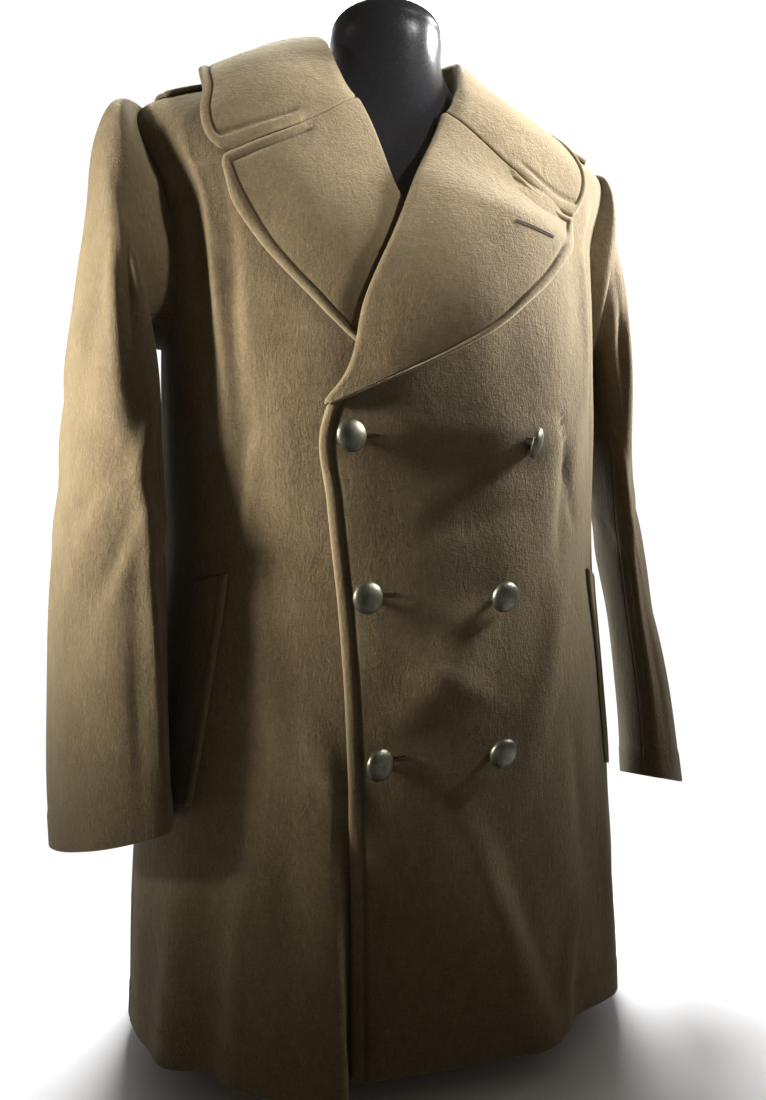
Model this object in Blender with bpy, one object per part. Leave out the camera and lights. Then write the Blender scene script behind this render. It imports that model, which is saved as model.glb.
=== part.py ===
"""A short double-breasted wool military greatcoat on a limbless dress form.

Metres, +Z up, the floor at z = 0 and the wearer facing -Y, so the wearer's left is +X.
Each cloth piece is a closed wall: a grid of outer points, read from a table of sections,
and the grid of inner points under it.
"""

import math
from collections import namedtuple

import bmesh
import bpy
import numpy as np

# Cloth and seams
WALL = 0.0024
DOUBLE_WALL = 0.0032
SEAM = 0.0003
LAYER = WALL + 0.0008

# Shares of the coat's length from hem (0) to neckline (1)
ARMPIT = 0.66
SHOULDER_TIP = 0.88
ARMHOLE_MIDDLE = (ARMPIT + SHOULDER_TIP) / 2
ARMHOLE_HALF = (SHOULDER_TIP - ARMPIT) / 2
ARMHOLE_FRONT_TURN = math.radians(24)
ARMHOLE_BACK_TURN = math.radians(26)
ARMHOLE_CLEAR = math.radians(0.25)
SIDE = math.pi / 2

# Buttons, 40 ligne
BUTTON_RADIUS = 0.0127
BUTTON_SHANK = 0.0065
BUTTON_DOME = 0.0052

# Counts of strips in each wall
BODY_ROWS_BELOW = 12
ARMHOLE_ROWS = 9
YOKE_ROWS = 4
BACK_COLUMNS = 9

# The fronts share their columns where one covers the other, and the right front's lie close
# together where it swings forward
SHARED_COLUMNS = 5
SHARED_LEAST = math.radians(10)
LEFT_COLUMNS = (0.09, 0.18, 0.27, 0.36, 0.45, 0.54, 0.63, 0.72, 0.81, 0.90, 1.0)
RIGHT_COLUMNS = (0.03, 0.055, 0.08, 0.105, 0.16, 0.25, 0.35, 0.46, 0.58, 0.70, 0.80, 0.90, 1.0)
SLEEVE_COLUMNS_TOP = 12
SLEEVE_COLUMNS_UNDER = 6
SLEEVE_ROWS = 16

BodyRing = namedtuple("BodyRing", "share side_z front_z back_z half_width front back squareness")
BODY_RINGS = (
    BodyRing(0.00, 0.028, 0.028, 0.028, 0.229, 0.160, 0.162, 2.1),
    BodyRing(0.16, 0.165, 0.165, 0.165, 0.225, 0.154, 0.157, 2.1),
    BodyRing(0.32, 0.300, 0.300, 0.300, 0.213, 0.147, 0.148, 2.2),
    BodyRing(0.46, 0.425, 0.425, 0.425, 0.200, 0.137, 0.130, 2.3),
    BodyRing(0.58, 0.530, 0.525, 0.530, 0.200, 0.134, 0.132, 2.4),
    BodyRing(ARMPIT, 0.600, 0.590, 0.600, 0.200, 0.130, 0.136, 2.4),
    BodyRing(0.77, 0.710, 0.675, 0.695, 0.204, 0.115, 0.134, 2.2),
    BodyRing(SHOULDER_TIP, 0.797, 0.748, 0.770, 0.216, 0.087, 0.118, 2.0),
    BodyRing(0.94, 0.822, 0.785, 0.812, 0.148, 0.074, 0.088, 2.0),
    BodyRing(1.00, 0.840, 0.805, 0.838, 0.068, 0.062, 0.058, 2.0),
)

# The front edge: its height and how far it passes the centre front
EdgePoint = namedtuple("EdgePoint", "height past_centre")
OVER_EDGE = (
    EdgePoint(0.000, 0.080),
    EdgePoint(0.240, 0.080),
    EdgePoint(0.377, 0.0845),
    EdgePoint(0.468, 0.0925),
    EdgePoint(0.522, 0.097),
    EdgePoint(0.545, 0.089),
    EdgePoint(0.557, 0.080),
    EdgePoint(0.623, 0.0585),
    EdgePoint(0.702, 0.0205),
    EdgePoint(0.749, -0.003),
    EdgePoint(0.795, -0.031),
    EdgePoint(0.812, -0.041),
)
UNDER_EDGE = (
    EdgePoint(0.000, 0.072),
    EdgePoint(0.390, 0.072),
    EdgePoint(0.470, 0.074),
    EdgePoint(0.520, 0.064),
    EdgePoint(0.560, 0.045),
    EdgePoint(0.630, 0.012),
    EdgePoint(0.705, -0.022),
    EdgePoint(0.761, -0.040),
    EdgePoint(0.795, -0.051),
    EdgePoint(0.812, -0.059),
)

# Soft folds of the body: a ridge (or, under zero, a trough) that runs between two heights,
# at the turn from the centre front given in degrees, positive towards the wearer's left
BodyFold = namedtuple("BodyFold", "low_turn high_turn low_z high_z width depth")
BODY_FOLDS = (
    BodyFold(-54, -46, 0.00, 0.36, 6, -0.007),
    BodyFold(-64, -56, 0.00, 0.33, 6, 0.008),
    BodyFold(-47, -52, 0.52, 0.80, 7, 0.004),
    BodyFold(22, -8, 0.00, 0.31, 8, 0.012),
    BodyFold(38, 14, 0.00, 0.26, 7, -0.007),
    BodyFold(54, 46, 0.00, 0.33, 7, 0.006),
    BodyFold(-8, 10, 0.28, 0.40, 6, 0.004),
    BodyFold(44, 50, 0.50, 0.80, 7, 0.004),
    BodyFold(120, 128, 0.00, 0.38, 9, 0.010),
    BodyFold(143, 150, 0.00, 0.34, 8, -0.008),
    BodyFold(165, 170, 0.00, 0.40, 8, 0.009),
    BodyFold(-123, -130, 0.00, 0.35, 9, 0.011),
    BodyFold(-146, -152, 0.00, 0.37, 8, -0.009),
    BodyFold(-166, -170, 0.00, 0.33, 8, 0.007),
)

# The right front swings forward at the hem, close beside the left front's edge
SWING_DEPTH = 0.038
SWING_START = 0.0035
SWING_RISE = 0.0105
SWING_SPREAD = 0.085
SWING_TOP = 0.31

# Sections of the wearer's left sleeve: the middle of each, half its size across
# (body to outside) and from front to back, how far it leans out of level, and how far
# its front turns in towards the body
SleeveRing = namedtuple(
    "SleeveRing", "share x y z half_across half_depth lean turn_in own left_out left_back"
)
SLEEVE_RINGS = (
    SleeveRing(0.00, 0.216, 0.000, 0.700, 0.100, 0.064, 86, 0, 0.00, 0.000, 0.000),
    SleeveRing(0.05, 0.225, -0.003, 0.699, 0.099, 0.059, 82, 0, 0.70, -0.008, 0.006),
    SleeveRing(0.12, 0.236, -0.006, 0.682, 0.086, 0.062, 78, 2, 1.00, -0.017, 0.015),
    SleeveRing(0.22, 0.241, -0.014, 0.650, 0.067, 0.066, 70, 4, 1.00, -0.015, 0.026),
    SleeveRing(0.34, 0.245, -0.019, 0.602, 0.055, 0.067, 58, 7, 1.00, -0.012, 0.030),
    SleeveRing(0.48, 0.250, -0.025, 0.535, 0.046, 0.069, 42, 11, 1.00, -0.008, 0.030),
    SleeveRing(0.62, 0.252, -0.032, 0.455, 0.041, 0.071, 28, 16, 1.00, -0.001, 0.026),
    SleeveRing(0.78, 0.253, -0.040, 0.358, 0.037, 0.073, 16, 22, 1.00, 0.007, 0.018),
    SleeveRing(0.90, 0.251, -0.046, 0.275, 0.034, 0.073, 2, 26, 1.00, 0.013, 0.010),
    SleeveRing(1.00, 0.249, -0.050, 0.202, 0.032, 0.073, -8, 28, 1.00, 0.018, 0.006),
)
# How far the cuff rises at the front for each metre forwards, and how pointed the crease is
CUFF_RISE = 0.24
SLEEVE_SQUARE_TOP = 2.2
SLEEVE_SQUARE_CUFF = 1.8

# The sleeve's seams, as turns about its own middle from the outer side by way of the front
FRONT_SEAM = math.radians(120)
HIND_SEAM = math.radians(240)

SleeveFold = namedtuple("SleeveFold", "turn share wide tall depth")
SLEEVE_FOLDS = (
    SleeveFold(62, 0.56, 26, 0.035, -0.006),
    SleeveFold(100, 0.64, 20, 0.045, 0.007),
    SleeveFold(20, 0.50, 34, 0.030, -0.004),
    SleeveFold(-40, 0.60, 40, 0.040, -0.004),
    SleeveFold(80, 0.30, 18, 0.060, -0.004),
    SleeveFold(205, 0.60, 30, 0.040, -0.006),
)

# Lapels, up from the break to the collar: the roll line and the outer edge, in the front
# view, with the distance that the edge stands off the chest
LapelStation = namedtuple("LapelStation", "share roll_z edge_x edge_z stand_off")
LEFT_LAPEL = (
    LapelStation(0.00, 0.548, -0.083, 0.544, 0.001),
    LapelStation(0.12, 0.578, -0.040, 0.562, 0.003),
    LapelStation(0.28, 0.616, 0.022, 0.592, 0.007),
    LapelStation(0.48, 0.662, 0.072, 0.628, 0.010),
    LapelStation(0.72, 0.717, 0.118, 0.674, 0.009),
    LapelStation(0.90, 0.765, 0.142, 0.706, 0.007),
    LapelStation(1.00, 0.802, 0.154, 0.727, 0.005),
)
RIGHT_LAPEL = (
    LapelStation(0.00, 0.535, -0.045, 0.530, 0.000),
    LapelStation(0.14, 0.570, 0.020, 0.555, 0.000),
    LapelStation(0.30, 0.612, 0.075, 0.595, 0.002),
    LapelStation(0.48, 0.658, 0.105, 0.626, 0.004),
    LapelStation(0.72, 0.717, 0.139, 0.668, 0.006),
    LapelStation(0.90, 0.765, 0.156, 0.703, 0.006),
    LapelStation(1.00, 0.802, 0.166, 0.727, 0.005),
)
LAPEL_CLEAR = 0.0012
LAPEL_CROWN = 0.005

# Collar, from the centre back (0) to its front end (1): its fold and its outer edge as turns
# in degrees and shares of the body under them, how far the fold stands up, how far the edge
# stands off, and the bulge between them
CollarStation = namedtuple(
    "CollarStation", "share fold_turn fold_share fold_up edge_turn edge_share edge_off crown"
)
COLLAR = (
    CollarStation(0.00, 180, 1.000, 0.045, 180, 0.912, 0.007, 0.009),
    CollarStation(0.20, 145, 1.000, 0.045, 148, 0.910, 0.008, 0.009),
    CollarStation(0.40, 105, 1.000, 0.041, 118, 0.920, 0.012, 0.009),
    CollarStation(0.55, 82, 1.000, 0.034, 100, 0.932, 0.013, 0.009),
    CollarStation(0.72, 60, 0.998, 0.024, 82, 0.927, 0.012, 0.008),
    CollarStation(0.87, 38, 0.986, 0.012, 58, 0.893, 0.008, 0.006),
    CollarStation(1.00, 22, 0.968, 0.002, 45, 0.823, 0.005, 0.004),
)
COLLAR_LIFT = 0.0052
COLLAR_FOOT_LIFT = 0.0024
GORGE_DIP = 0.012
NECK_SHIFT = 0.009
NOTCH_GAP = 0.0008

LAPEL_ROWS = 13
LAPEL_COLUMNS = 7
COLLAR_HALF = 11
COLLAR_FALL = 6

# Shoulder straps and pocket welts
STRAP_HALF = 0.022
STRAP_THICK = 0.003
STRAP_START = SHOULDER_TIP + 0.012
STRAP_END = 0.955
WELT_HALF = 0.022
WELT_THICK = 0.003
WELT_CLEAR = 0.0008
WELT_TOP_TURN = math.radians(57)
WELT_FOOT_TURN = math.radians(63)
WELT_TOP = 0.408
WELT_FOOT = 0.228

# Buttons: which side of the centre, how far out, how high, and the droop in degrees
ButtonPlace = namedtuple("ButtonPlace", "name x z droop")
BUTTONS = (
    ButtonPlace("button_fastened_1", -0.0800, 0.5165, 4),
    ButtonPlace("button_fastened_2", -0.0675, 0.3940, 6),
    ButtonPlace("button_fastened_3", -0.0635, 0.2690, 6),
    ButtonPlace("button_outer_1", 0.0670, 0.5195, 24),
    ButtonPlace("button_outer_2", 0.0475, 0.3940, 20),
    ButtonPlace("button_outer_3", 0.0415, 0.2715, 20),
)

# The form: how far it lies inside the coat, from the base to the neckline
FormInset = namedtuple("FormInset", "share inset")
FORM_INSETS = (
    FormInset(0.00, 0.052),
    FormInset(0.30, 0.034),
    FormInset(0.46, 0.022),
    FormInset(0.60, 0.014),
    FormInset(0.77, 0.008),
    FormInset(SHOULDER_TIP, WALL + 0.0018),
    FormInset(1.00, WALL + 0.0018),
)
NeckRing = namedtuple("NeckRing", "z radius forward")
NECK_RINGS = (
    NeckRing(0.850, 0.0530, 0.000),
    NeckRing(0.875, 0.0510, 0.002),
    NeckRing(0.893, 0.0505, 0.003),
    NeckRing(0.906, 0.0450, 0.004),
    NeckRing(0.914, 0.0320, 0.004),
    NeckRing(0.918, 0.0130, 0.004),
)
FORM_COLUMNS = 28
FORM_ROWS = 16

Finish = namedtuple("Finish", "colour roughness metallic")
FINISHES = {
    "olive_wool": Finish((0.105, 0.078, 0.030), 0.95, 0.0),
    "form_black": Finish((0.010, 0.010, 0.012), 0.22, 0.0),
    "button_bronze": Finish((0.085, 0.083, 0.052), 0.38, 0.6),
}


def smooth_step(t):
    """0 below 0, 1 above 1, and an even S between."""
    t = np.clip(t, 0.0, 1.0)
    return t * t * (3 - 2 * t)


def curve(knots, values, at):
    """A smooth curve through the values at the knots, read at each place of at."""
    knots, values, at = (np.asarray(a, float) for a in (knots, values, at))
    step = np.diff(knots)
    slope = np.diff(values) / step
    tangent = np.concatenate([slope[:1], slope, slope[-1:]])
    tangent = tangent[:-1]
    tangent[1:-1] = (slope[:-1] * step[1:] + slope[1:] * step[:-1]) / (step[1:] + step[:-1])
    tangent[-1] = slope[-1]
    i = np.clip(np.searchsorted(knots, at, side="right") - 1, 0, len(step) - 1)
    t = (at - knots[i]) / step[i]
    rise = (t**3 - 2 * t**2 + t) * tangent[i] + (t**3 - t**2) * tangent[i + 1]
    return values[i] + (3 * t**2 - 2 * t**3) * (values[i + 1] - values[i]) + rise * step[i]


def column(table, name, at):
    """One named column of a table, on a smooth curve over the table's first column."""
    return curve([row[0] for row in table], [getattr(row, name) for row in table], at)


def rounded(cosine_or_sine, squareness):
    """The cosine or sine of a squared-off ellipse."""
    return np.sign(cosine_or_sine) * np.abs(cosine_or_sine) ** (2 / squareness)


def plain_body(turn, share):
    """A point of the coat's outer face without its folds. turn is 0 at the centre front."""
    sine, cosine = np.sin(turn), np.cos(turn)
    squareness = column(BODY_RINGS, "squareness", share)
    facing_front = smooth_step((cosine + 0.25) / 0.5)
    depth = column(BODY_RINGS, "back", share) * (1 - facing_front)
    depth = depth + column(BODY_RINGS, "front", share) * facing_front
    end_z = column(BODY_RINGS, "back_z", share) * (1 - facing_front)
    end_z = end_z + column(BODY_RINGS, "front_z", share) * facing_front
    sideways = sine**2
    z = end_z + (column(BODY_RINGS, "side_z", share) - end_z) * sideways
    x = column(BODY_RINGS, "half_width", share) * rounded(sine, squareness)
    y = -depth * rounded(cosine, squareness)
    return np.stack(np.broadcast_arrays(x, y, z), axis=-1)


def fold_push(turn, z):
    """How far the folds push the body's face out."""
    push = np.zeros(np.broadcast(turn, z).shape)
    for fold in BODY_FOLDS:
        climb = (z - fold.low_z) / (fold.high_z - fold.low_z)
        middle = math.radians(fold.low_turn)
        middle = middle + math.radians(fold.high_turn - fold.low_turn) * np.clip(climb, 0, 1)
        away = (turn - middle) / math.radians(fold.width)
        if fold.low_z > 0:
            fade = smooth_step(climb * 3) * smooth_step((1 - climb) * 3)
        else:
            fade = 1 - smooth_step(climb)
        push = push + fold.depth * np.exp(-(away**2)) * fade
    return push


def swing_push(point):
    """How far the right front swings forward at a point of its plain face."""
    height = point[..., 2]
    beyond = -point[..., 0] - past_centre(OVER_EDGE, height) - SWING_START
    rise = smooth_step(beyond / SWING_RISE)
    spread = np.exp(-((np.maximum(beyond - SWING_RISE, 0) / SWING_SPREAD) ** 2))
    return SWING_DEPTH * rise * spread * (1 - smooth_step(height / SWING_TOP))


def body(panel, turn, share, out=0.0):
    """A point of one panel's outer face, moved out by a distance along its normal."""

    def place(a, b):
        point = plain_body(a, b)
        push = fold_push(np.where(np.abs(a) > math.pi, a - 2 * math.pi * np.sign(a), a), point[..., 2])
        outwards = np.stack([np.sin(a), -np.cos(a), np.zeros_like(a)], axis=-1)
        moved = point + outwards * push[..., None]
        if panel == "right":
            moved[..., 1] -= swing_push(point)
        return moved

    turn, share = np.broadcast_arrays(np.asarray(turn, float), np.asarray(share, float))
    small = 1e-4
    around = place(turn + small, share) - place(turn - small, share)
    upwards = place(turn, share + small) - place(turn, share - small)
    normal = np.cross(around, upwards)
    normal /= np.linalg.norm(normal, axis=-1, keepdims=True)
    return place(turn, share) + normal * np.asarray(out)[..., None]


def turn_at(x, share):
    """The turn at which the front, on a ring, lies x to the wearer's left."""
    width = column(BODY_RINGS, "half_width", share)
    power = column(BODY_RINGS, "squareness", share) / 2
    return np.sign(x) * np.arcsin(np.clip(np.abs(x) / width, 0, 0.9999) ** power)


def ring_at(x, z):
    """The turn and share of the front's point at x, z in the front view."""
    x, z = np.asarray(x, float), np.asarray(z, float)
    shares = np.linspace(0, 1, 201)
    share = np.interp(z, column(BODY_RINGS, "front_z", shares), shares)
    for _ in range(12):
        turn = turn_at(x, share)
        miss = z - plain_body(turn, share)[..., 2]
        share = np.clip(share + miss * 0.9, 0, 1)
    return turn_at(x, share), share


def past_centre(edge, height):
    """How far a front edge passes the centre front at a height."""
    return curve([point.height for point in edge], [point.past_centre for point in edge], height)


def edge_turn(edge, share):
    """The turn of a front edge on a ring, counted away from its own side."""
    return turn_at(past_centre(edge, column(BODY_RINGS, "front_z", share)), share)


def armhole_turn(share, widest):
    """How far the armhole's edge lies from the side, on a ring."""
    reach = np.clip((share - ARMHOLE_MIDDLE) / ARMHOLE_HALF, -1, 1)
    return widest * np.sqrt(1 - reach**2)


def over_lift(turn, share):
    """How far the wearer's left front lies off the plain body, to pass over the right front."""
    height = plain_body(turn, share)[..., 2]
    over_right = smooth_step((math.radians(50) - turn) / math.radians(24))
    over_right = over_right * smooth_step((0.785 - height) / 0.06)
    over_lapel = smooth_step((height - 0.49) / 0.04)
    return over_right * (LAYER + (DOUBLE_WALL + 0.0028) * over_lapel)


def body_rows():
    """Shares of the rows of every body panel, closer together round the armhole's ends."""
    below = np.linspace(0, ARMPIT, BODY_ROWS_BELOW + 1)
    arc = np.linspace(math.pi, 0, ARMHOLE_ROWS + 1)
    beside = ARMHOLE_MIDDLE + ARMHOLE_HALF * np.cos(arc)
    above = np.linspace(SHOULDER_TIP, 1, YOKE_ROWS + 1)
    return np.concatenate([below, beside[1:], above[1:]])


def draw_back(grid, index, distance):
    """Moves one column of a grid back from its seam, towards the column beside it."""
    inner = 1 if index == 0 else -2
    way = grid[:, inner] - grid[:, index]
    grid[:, index] += way / np.linalg.norm(way, axis=-1, keepdims=True) * distance


def new_material(name):
    finish = FINISHES[name]
    material = bpy.data.materials.get(name) or bpy.data.materials.new(name)
    material.use_nodes = True
    shader = material.node_tree.nodes["Principled BSDF"]
    shader.inputs["Base Color"].default_value = (*finish.colour, 1)
    shader.inputs["Roughness"].default_value = finish.roughness
    shader.inputs["Metallic"].default_value = finish.metallic
    return material


def new_object(name, points, faces, finish, sharp_degrees=40):
    """A closed object from its points and faces, with its faces turned out."""
    mesh = bpy.data.meshes.new(name)
    mesh.from_pydata([tuple(map(float, p)) for p in points], [], faces)
    shell = bmesh.new()
    shell.from_mesh(mesh)
    bmesh.ops.recalc_face_normals(shell, faces=shell.faces)
    if shell.calc_volume(signed=True) < 0:
        bmesh.ops.reverse_faces(shell, faces=shell.faces)
    shell.to_mesh(mesh)
    shell.free()
    mesh.shade_smooth()
    mesh.set_sharp_from_angle(angle=math.radians(sharp_degrees))
    mesh.materials.append(new_material(finish))
    made = bpy.data.objects.new(name, mesh)
    bpy.context.scene.collection.objects.link(made)
    return made


def wall(name, outer, inner, mirrored=False):
    """One closed wall between a grid of outer points and the grid of inner points.

    mirrored turns the diagonals of its faces round, so that two walls with the same places
    for their points, in opposite orders, lie flat on each other.
    """
    rows, columns = outer.shape[:2]
    points = np.concatenate([outer.reshape(-1, 3), inner.reshape(-1, 3)])

    def at(row, col, face):
        return face * rows * columns + row * columns + col

    faces = []
    for r in range(rows - 1):
        for c in range(columns - 1):
            a, b, e, d = (r, c), (r, c + 1), (r + 1, c + 1), (r + 1, c)
            halves = ((a, b, d), (b, e, d)) if mirrored else ((a, b, e), (a, e, d))
            for half in halves:
                faces.append(tuple(at(*corner, 0) for corner in half))
                faces.append(tuple(at(*corner, 1) for corner in reversed(half)))
    rim = [(0, c) for c in range(columns)] + [(r, columns - 1) for r in range(1, rows)]
    rim += [(rows - 1, c) for c in range(columns - 2, -1, -1)]
    rim += [(r, 0) for r in range(rows - 2, 0, -1)]
    for a, b in zip(rim, rim[1:] + rim[:1]):
        faces.append((at(*a, 0), at(*a, 1), at(*b, 1), at(*b, 0)))
    return new_object(name, points, faces, "olive_wool")


def front_panel(side):
    """One front, from its front edge to the side seam, armhole and shoulder seam."""
    left = side == "left"
    shares = body_rows()[:, None]
    over, under = edge_turn(OVER_EDGE, shares), edge_turn(UNDER_EDGE, shares)
    start = -over if left else -under
    shared = np.maximum(over + under, SHARED_LEAST)
    end = SIDE - armhole_turn(shares, ARMHOLE_FRONT_TURN)
    turn = start + shared * np.linspace(0, 1, SHARED_COLUMNS + 1)
    beyond = np.array(LEFT_COLUMNS if left else RIGHT_COLUMNS)
    from_shared = (SIDE - start - shared) * beyond - (SIDE - end) * beyond**1.6
    turn = np.concatenate([turn, start + shared + from_shared], axis=1)
    share = np.broadcast_to(shares, turn.shape)
    lift = over_lift(turn, share) if left else np.zeros(turn.shape)
    signed = turn if left else -turn
    outer = body(side, signed, share, lift)
    inner = body(side, signed, share, lift - WALL)
    for grid in (outer, inner):
        draw_back(grid, -1, SEAM / 2)
    return wall(f"front_{side}", outer, inner, mirrored=not left)


def back_panel(side):
    """One half of the back, from the side seam and armhole to the centre back seam."""
    sign = 1 if side == "left" else -1
    shares = body_rows()[:, None]
    start = SIDE + armhole_turn(shares, ARMHOLE_BACK_TURN)
    turn = start + (math.pi - start) * np.linspace(0, 1, BACK_COLUMNS + 1)
    share = np.broadcast_to(shares, turn.shape)
    outer = body("back", turn * sign, share)
    inner = body("back", turn * sign, share, -WALL)
    for grid in (outer, inner):
        draw_back(grid, 0, SEAM / 2)
        draw_back(grid, -1, SEAM / 2)
    return wall(f"back_{side}", outer, inner)


def armhole_point(around, out):
    """A point over the armhole's edge. around is 0 at the shoulder tip, and grows forwards."""
    share = ARMHOLE_MIDDLE + ARMHOLE_HALF * np.cos(around)
    forwards = np.sin(around)
    widest = np.where(forwards > 0, ARMHOLE_FRONT_TURN, ARMHOLE_BACK_TURN) - ARMHOLE_CLEAR
    return body("armhole", SIDE - widest * forwards, share, out)


def sleeve_point(side, around, share, out=0.0):
    """A point of one sleeve, on the wearer's left, moved out by a distance from its middle."""
    around, share = np.broadcast_arrays(np.asarray(around, float), np.asarray(share, float))
    lean = np.radians(column(SLEEVE_RINGS, "lean", share))
    turn_in = np.radians(column(SLEEVE_RINGS, "turn_in", share))
    across = column(SLEEVE_RINGS, "half_across", share)
    depth = column(SLEEVE_RINGS, "half_depth", share)
    push = np.zeros(around.shape)
    for fold in SLEEVE_FOLDS:
        away = (around - math.radians(fold.turn) + math.pi) % (2 * math.pi) - math.pi
        bell = (away / math.radians(fold.wide)) ** 2 + ((share - fold.share) / fold.tall) ** 2
        push = push + fold.depth * np.exp(-bell)
    swing_out = column(SLEEVE_RINGS, "left_out", share) if side == "left" else 0.0
    swing_back = column(SLEEVE_RINGS, "left_back", share) if side == "left" else 0.0
    squareness = SLEEVE_SQUARE_TOP + (SLEEVE_SQUARE_CUFF - SLEEVE_SQUARE_TOP) * share
    outwards = (across + push + out) * rounded(np.cos(around), squareness)
    forwards = (depth + push + out) * rounded(np.sin(around), squareness)
    flat_x = outwards * np.cos(lean)
    x = column(SLEEVE_RINGS, "x", share) + swing_out
    x = x + flat_x * np.cos(turn_in) - forwards * np.sin(turn_in)
    y = column(SLEEVE_RINGS, "y", share) + swing_back - flat_x * np.sin(turn_in) - forwards * np.cos(turn_in)
    z = column(SLEEVE_RINGS, "z", share) + outwards * np.sin(lean)
    z = z + CUFF_RISE * forwards * smooth_step((share - 0.5) / 0.5)
    own = np.stack([x, y, z], axis=-1)
    weight = smooth_step(column(SLEEVE_RINGS, "own", share))[..., None]
    rise = SEAM + WALL / 2 + 0.006 * smooth_step(share / 0.04) + out
    return own * weight + armhole_point(around, rise) * (1 - weight)


def sleeve_wall(side, name, start, end, columns):
    """One sleeve piece between two turns about the sleeve's middle."""
    sign = 1 if side == "left" else -1
    spread = np.linspace(0, 1, SLEEVE_ROWS + 1)[:, None] ** 1.25
    around = np.linspace(start, end, columns + 1)[None, :]
    outer = sleeve_point(side, around, spread, WALL / 2)
    inner = sleeve_point(side, around, spread, -WALL / 2)
    for grid in (outer, inner):
        draw_back(grid, 0, 1.4 * SEAM)
        draw_back(grid, -1, 1.4 * SEAM)
        grid[..., 0] *= sign
    return wall(f"{name}_{side}", outer, inner)


def collar_point(side, share, across):
    """A middle point of the collar: across is -1 at its foot, 0 at the fold and 1 at the edge."""
    share, across = np.broadcast_arrays(np.asarray(share, float), np.asarray(across, float))
    fall = np.maximum(across, 0)
    stand = np.maximum(-across, 0)
    near_end = smooth_step((share - 0.6) / 0.4)
    fold_turn, edge = column(COLLAR, "fold_turn", share), column(COLLAR, "edge_turn", share)
    turn = np.radians(fold_turn + (edge - fold_turn) * fall ** (1 + 0.3 * near_end))
    ring = column(COLLAR, "fold_share", share)
    ring = ring + (column(COLLAR, "edge_share", share) - ring) * fall
    ring = ring - GORGE_DIP * near_end * np.sin(math.pi * fall**0.5)
    off = COLLAR_LIFT + column(COLLAR, "edge_off", share) * fall**1.5
    off = off + column(COLLAR, "crown", share) * np.sin(math.pi * fall)
    off = off * (1 - stand) + stand * COLLAR_FOOT_LIFT
    point = body("collar", turn, ring, off)
    rise = column(COLLAR, "fold_up", share) * np.where(stand > 0, 1 - stand, (1 - fall) ** 1.3)
    point[..., 2] += rise
    shift = NECK_SHIFT * near_end
    point[..., 0] = point[..., 0] - shift if side == "left" else -point[..., 0] - shift
    return point


def lapel(side):
    """One lapel, from the roll line out over the chest, up to the collar's end."""
    left = side == "left"
    table, edge = (LEFT_LAPEL, OVER_EDGE) if left else (RIGHT_LAPEL, UNDER_EDGE)
    sign = 1 if left else -1
    share = np.linspace(0, 1, LAPEL_ROWS + 1)[:, None]
    across = np.linspace(0, 1, LAPEL_COLUMNS + 1)[None, :]
    roll_z = column(table, "roll_z", share)
    roll_x = -past_centre(edge, roll_z)
    x = roll_x + (column(table, "edge_x", share) - roll_x) * across
    z = roll_z + (column(table, "edge_z", share) - roll_z) * across
    turn, ring = ring_at(x, z)
    stand = column(table, "stand_off", share) * across**1.5
    crown = LAPEL_CROWN * np.sin(math.pi * across) * smooth_step(share * 2.5)
    base = over_lift(turn, ring)
    if not left:
        covered = smooth_step((past_centre(OVER_EDGE, z) - x + 0.024) / 0.024)
        base, stand, crown = base * 0, stand * (1 - covered), crown * (1 - covered)
    middle = body(side, turn * sign, ring, base + LAPEL_CLEAR + DOUBLE_WALL / 2 + stand + crown)
    top = collar_point(side, np.ones(x.shape), np.broadcast_to(across, x.shape))
    below = collar_point(side, np.full(x.shape, 0.985), np.broadcast_to(across, x.shape))
    onwards = top - below
    onwards /= np.linalg.norm(onwards, axis=-1, keepdims=True)
    open_notch = smooth_step((across - 0.25) / 0.3)
    top = top + onwards * (4 * SEAM + NOTCH_GAP * open_notch)[..., None]
    weight = smooth_step((share - 0.74) / 0.26)[..., None]
    return wall_about(f"lapel_{side}", middle * (1 - weight) + top * weight, DOUBLE_WALL)


def collar():
    """The collar: a stand up round the neck and a fall that turns over it."""
    around = np.linspace(-1, 1, 2 * COLLAR_HALF + 1)[:, None]
    across = np.concatenate([[-1.0, -0.5], np.linspace(0, 1, COLLAR_FALL + 1)])[None, :]
    left = collar_point("left", np.abs(around), across)
    right = collar_point("right", np.abs(around), across)
    middle = np.where(around[..., None] < 0, right, left)
    middle[COLLAR_HALF, :, 0] = 0
    return wall_about("collar", middle, DOUBLE_WALL)


def wall_about(name, middle, thickness):
    """A wall of even thickness about a grid of middle points."""
    along = np.gradient(middle, axis=0)
    across = np.gradient(middle, axis=1)
    normal = np.cross(along, across)
    normal /= np.linalg.norm(normal, axis=-1, keepdims=True)
    return wall(name, middle + normal * thickness / 2, middle - normal * thickness / 2)


def shoulder_strap(side):
    """A strap along the shoulder seam, from the sleeve to under the collar."""
    sign = 1 if side == "left" else -1
    share = np.linspace(STRAP_START, STRAP_END, 6)[:, None]
    spread = np.linspace(-1, 1, 5)[None, :]
    half = STRAP_HALF * (1 - 0.25 * smooth_step((share - STRAP_START) / 0.08))
    depth = column(BODY_RINGS, "front", share)
    power = column(BODY_RINGS, "squareness", share) / 2
    offset = np.abs(spread * half / depth) ** power
    turn = SIDE + np.sign(spread) * np.arcsin(np.clip(offset, 0, 1))
    share = np.broadcast_to(share, turn.shape)
    outer = body("armhole", turn * sign, share, SEAM + STRAP_THICK)
    inner = body("armhole", turn * sign, share, SEAM)
    return wall(f"shoulder_strap_{side}", outer, inner)


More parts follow.
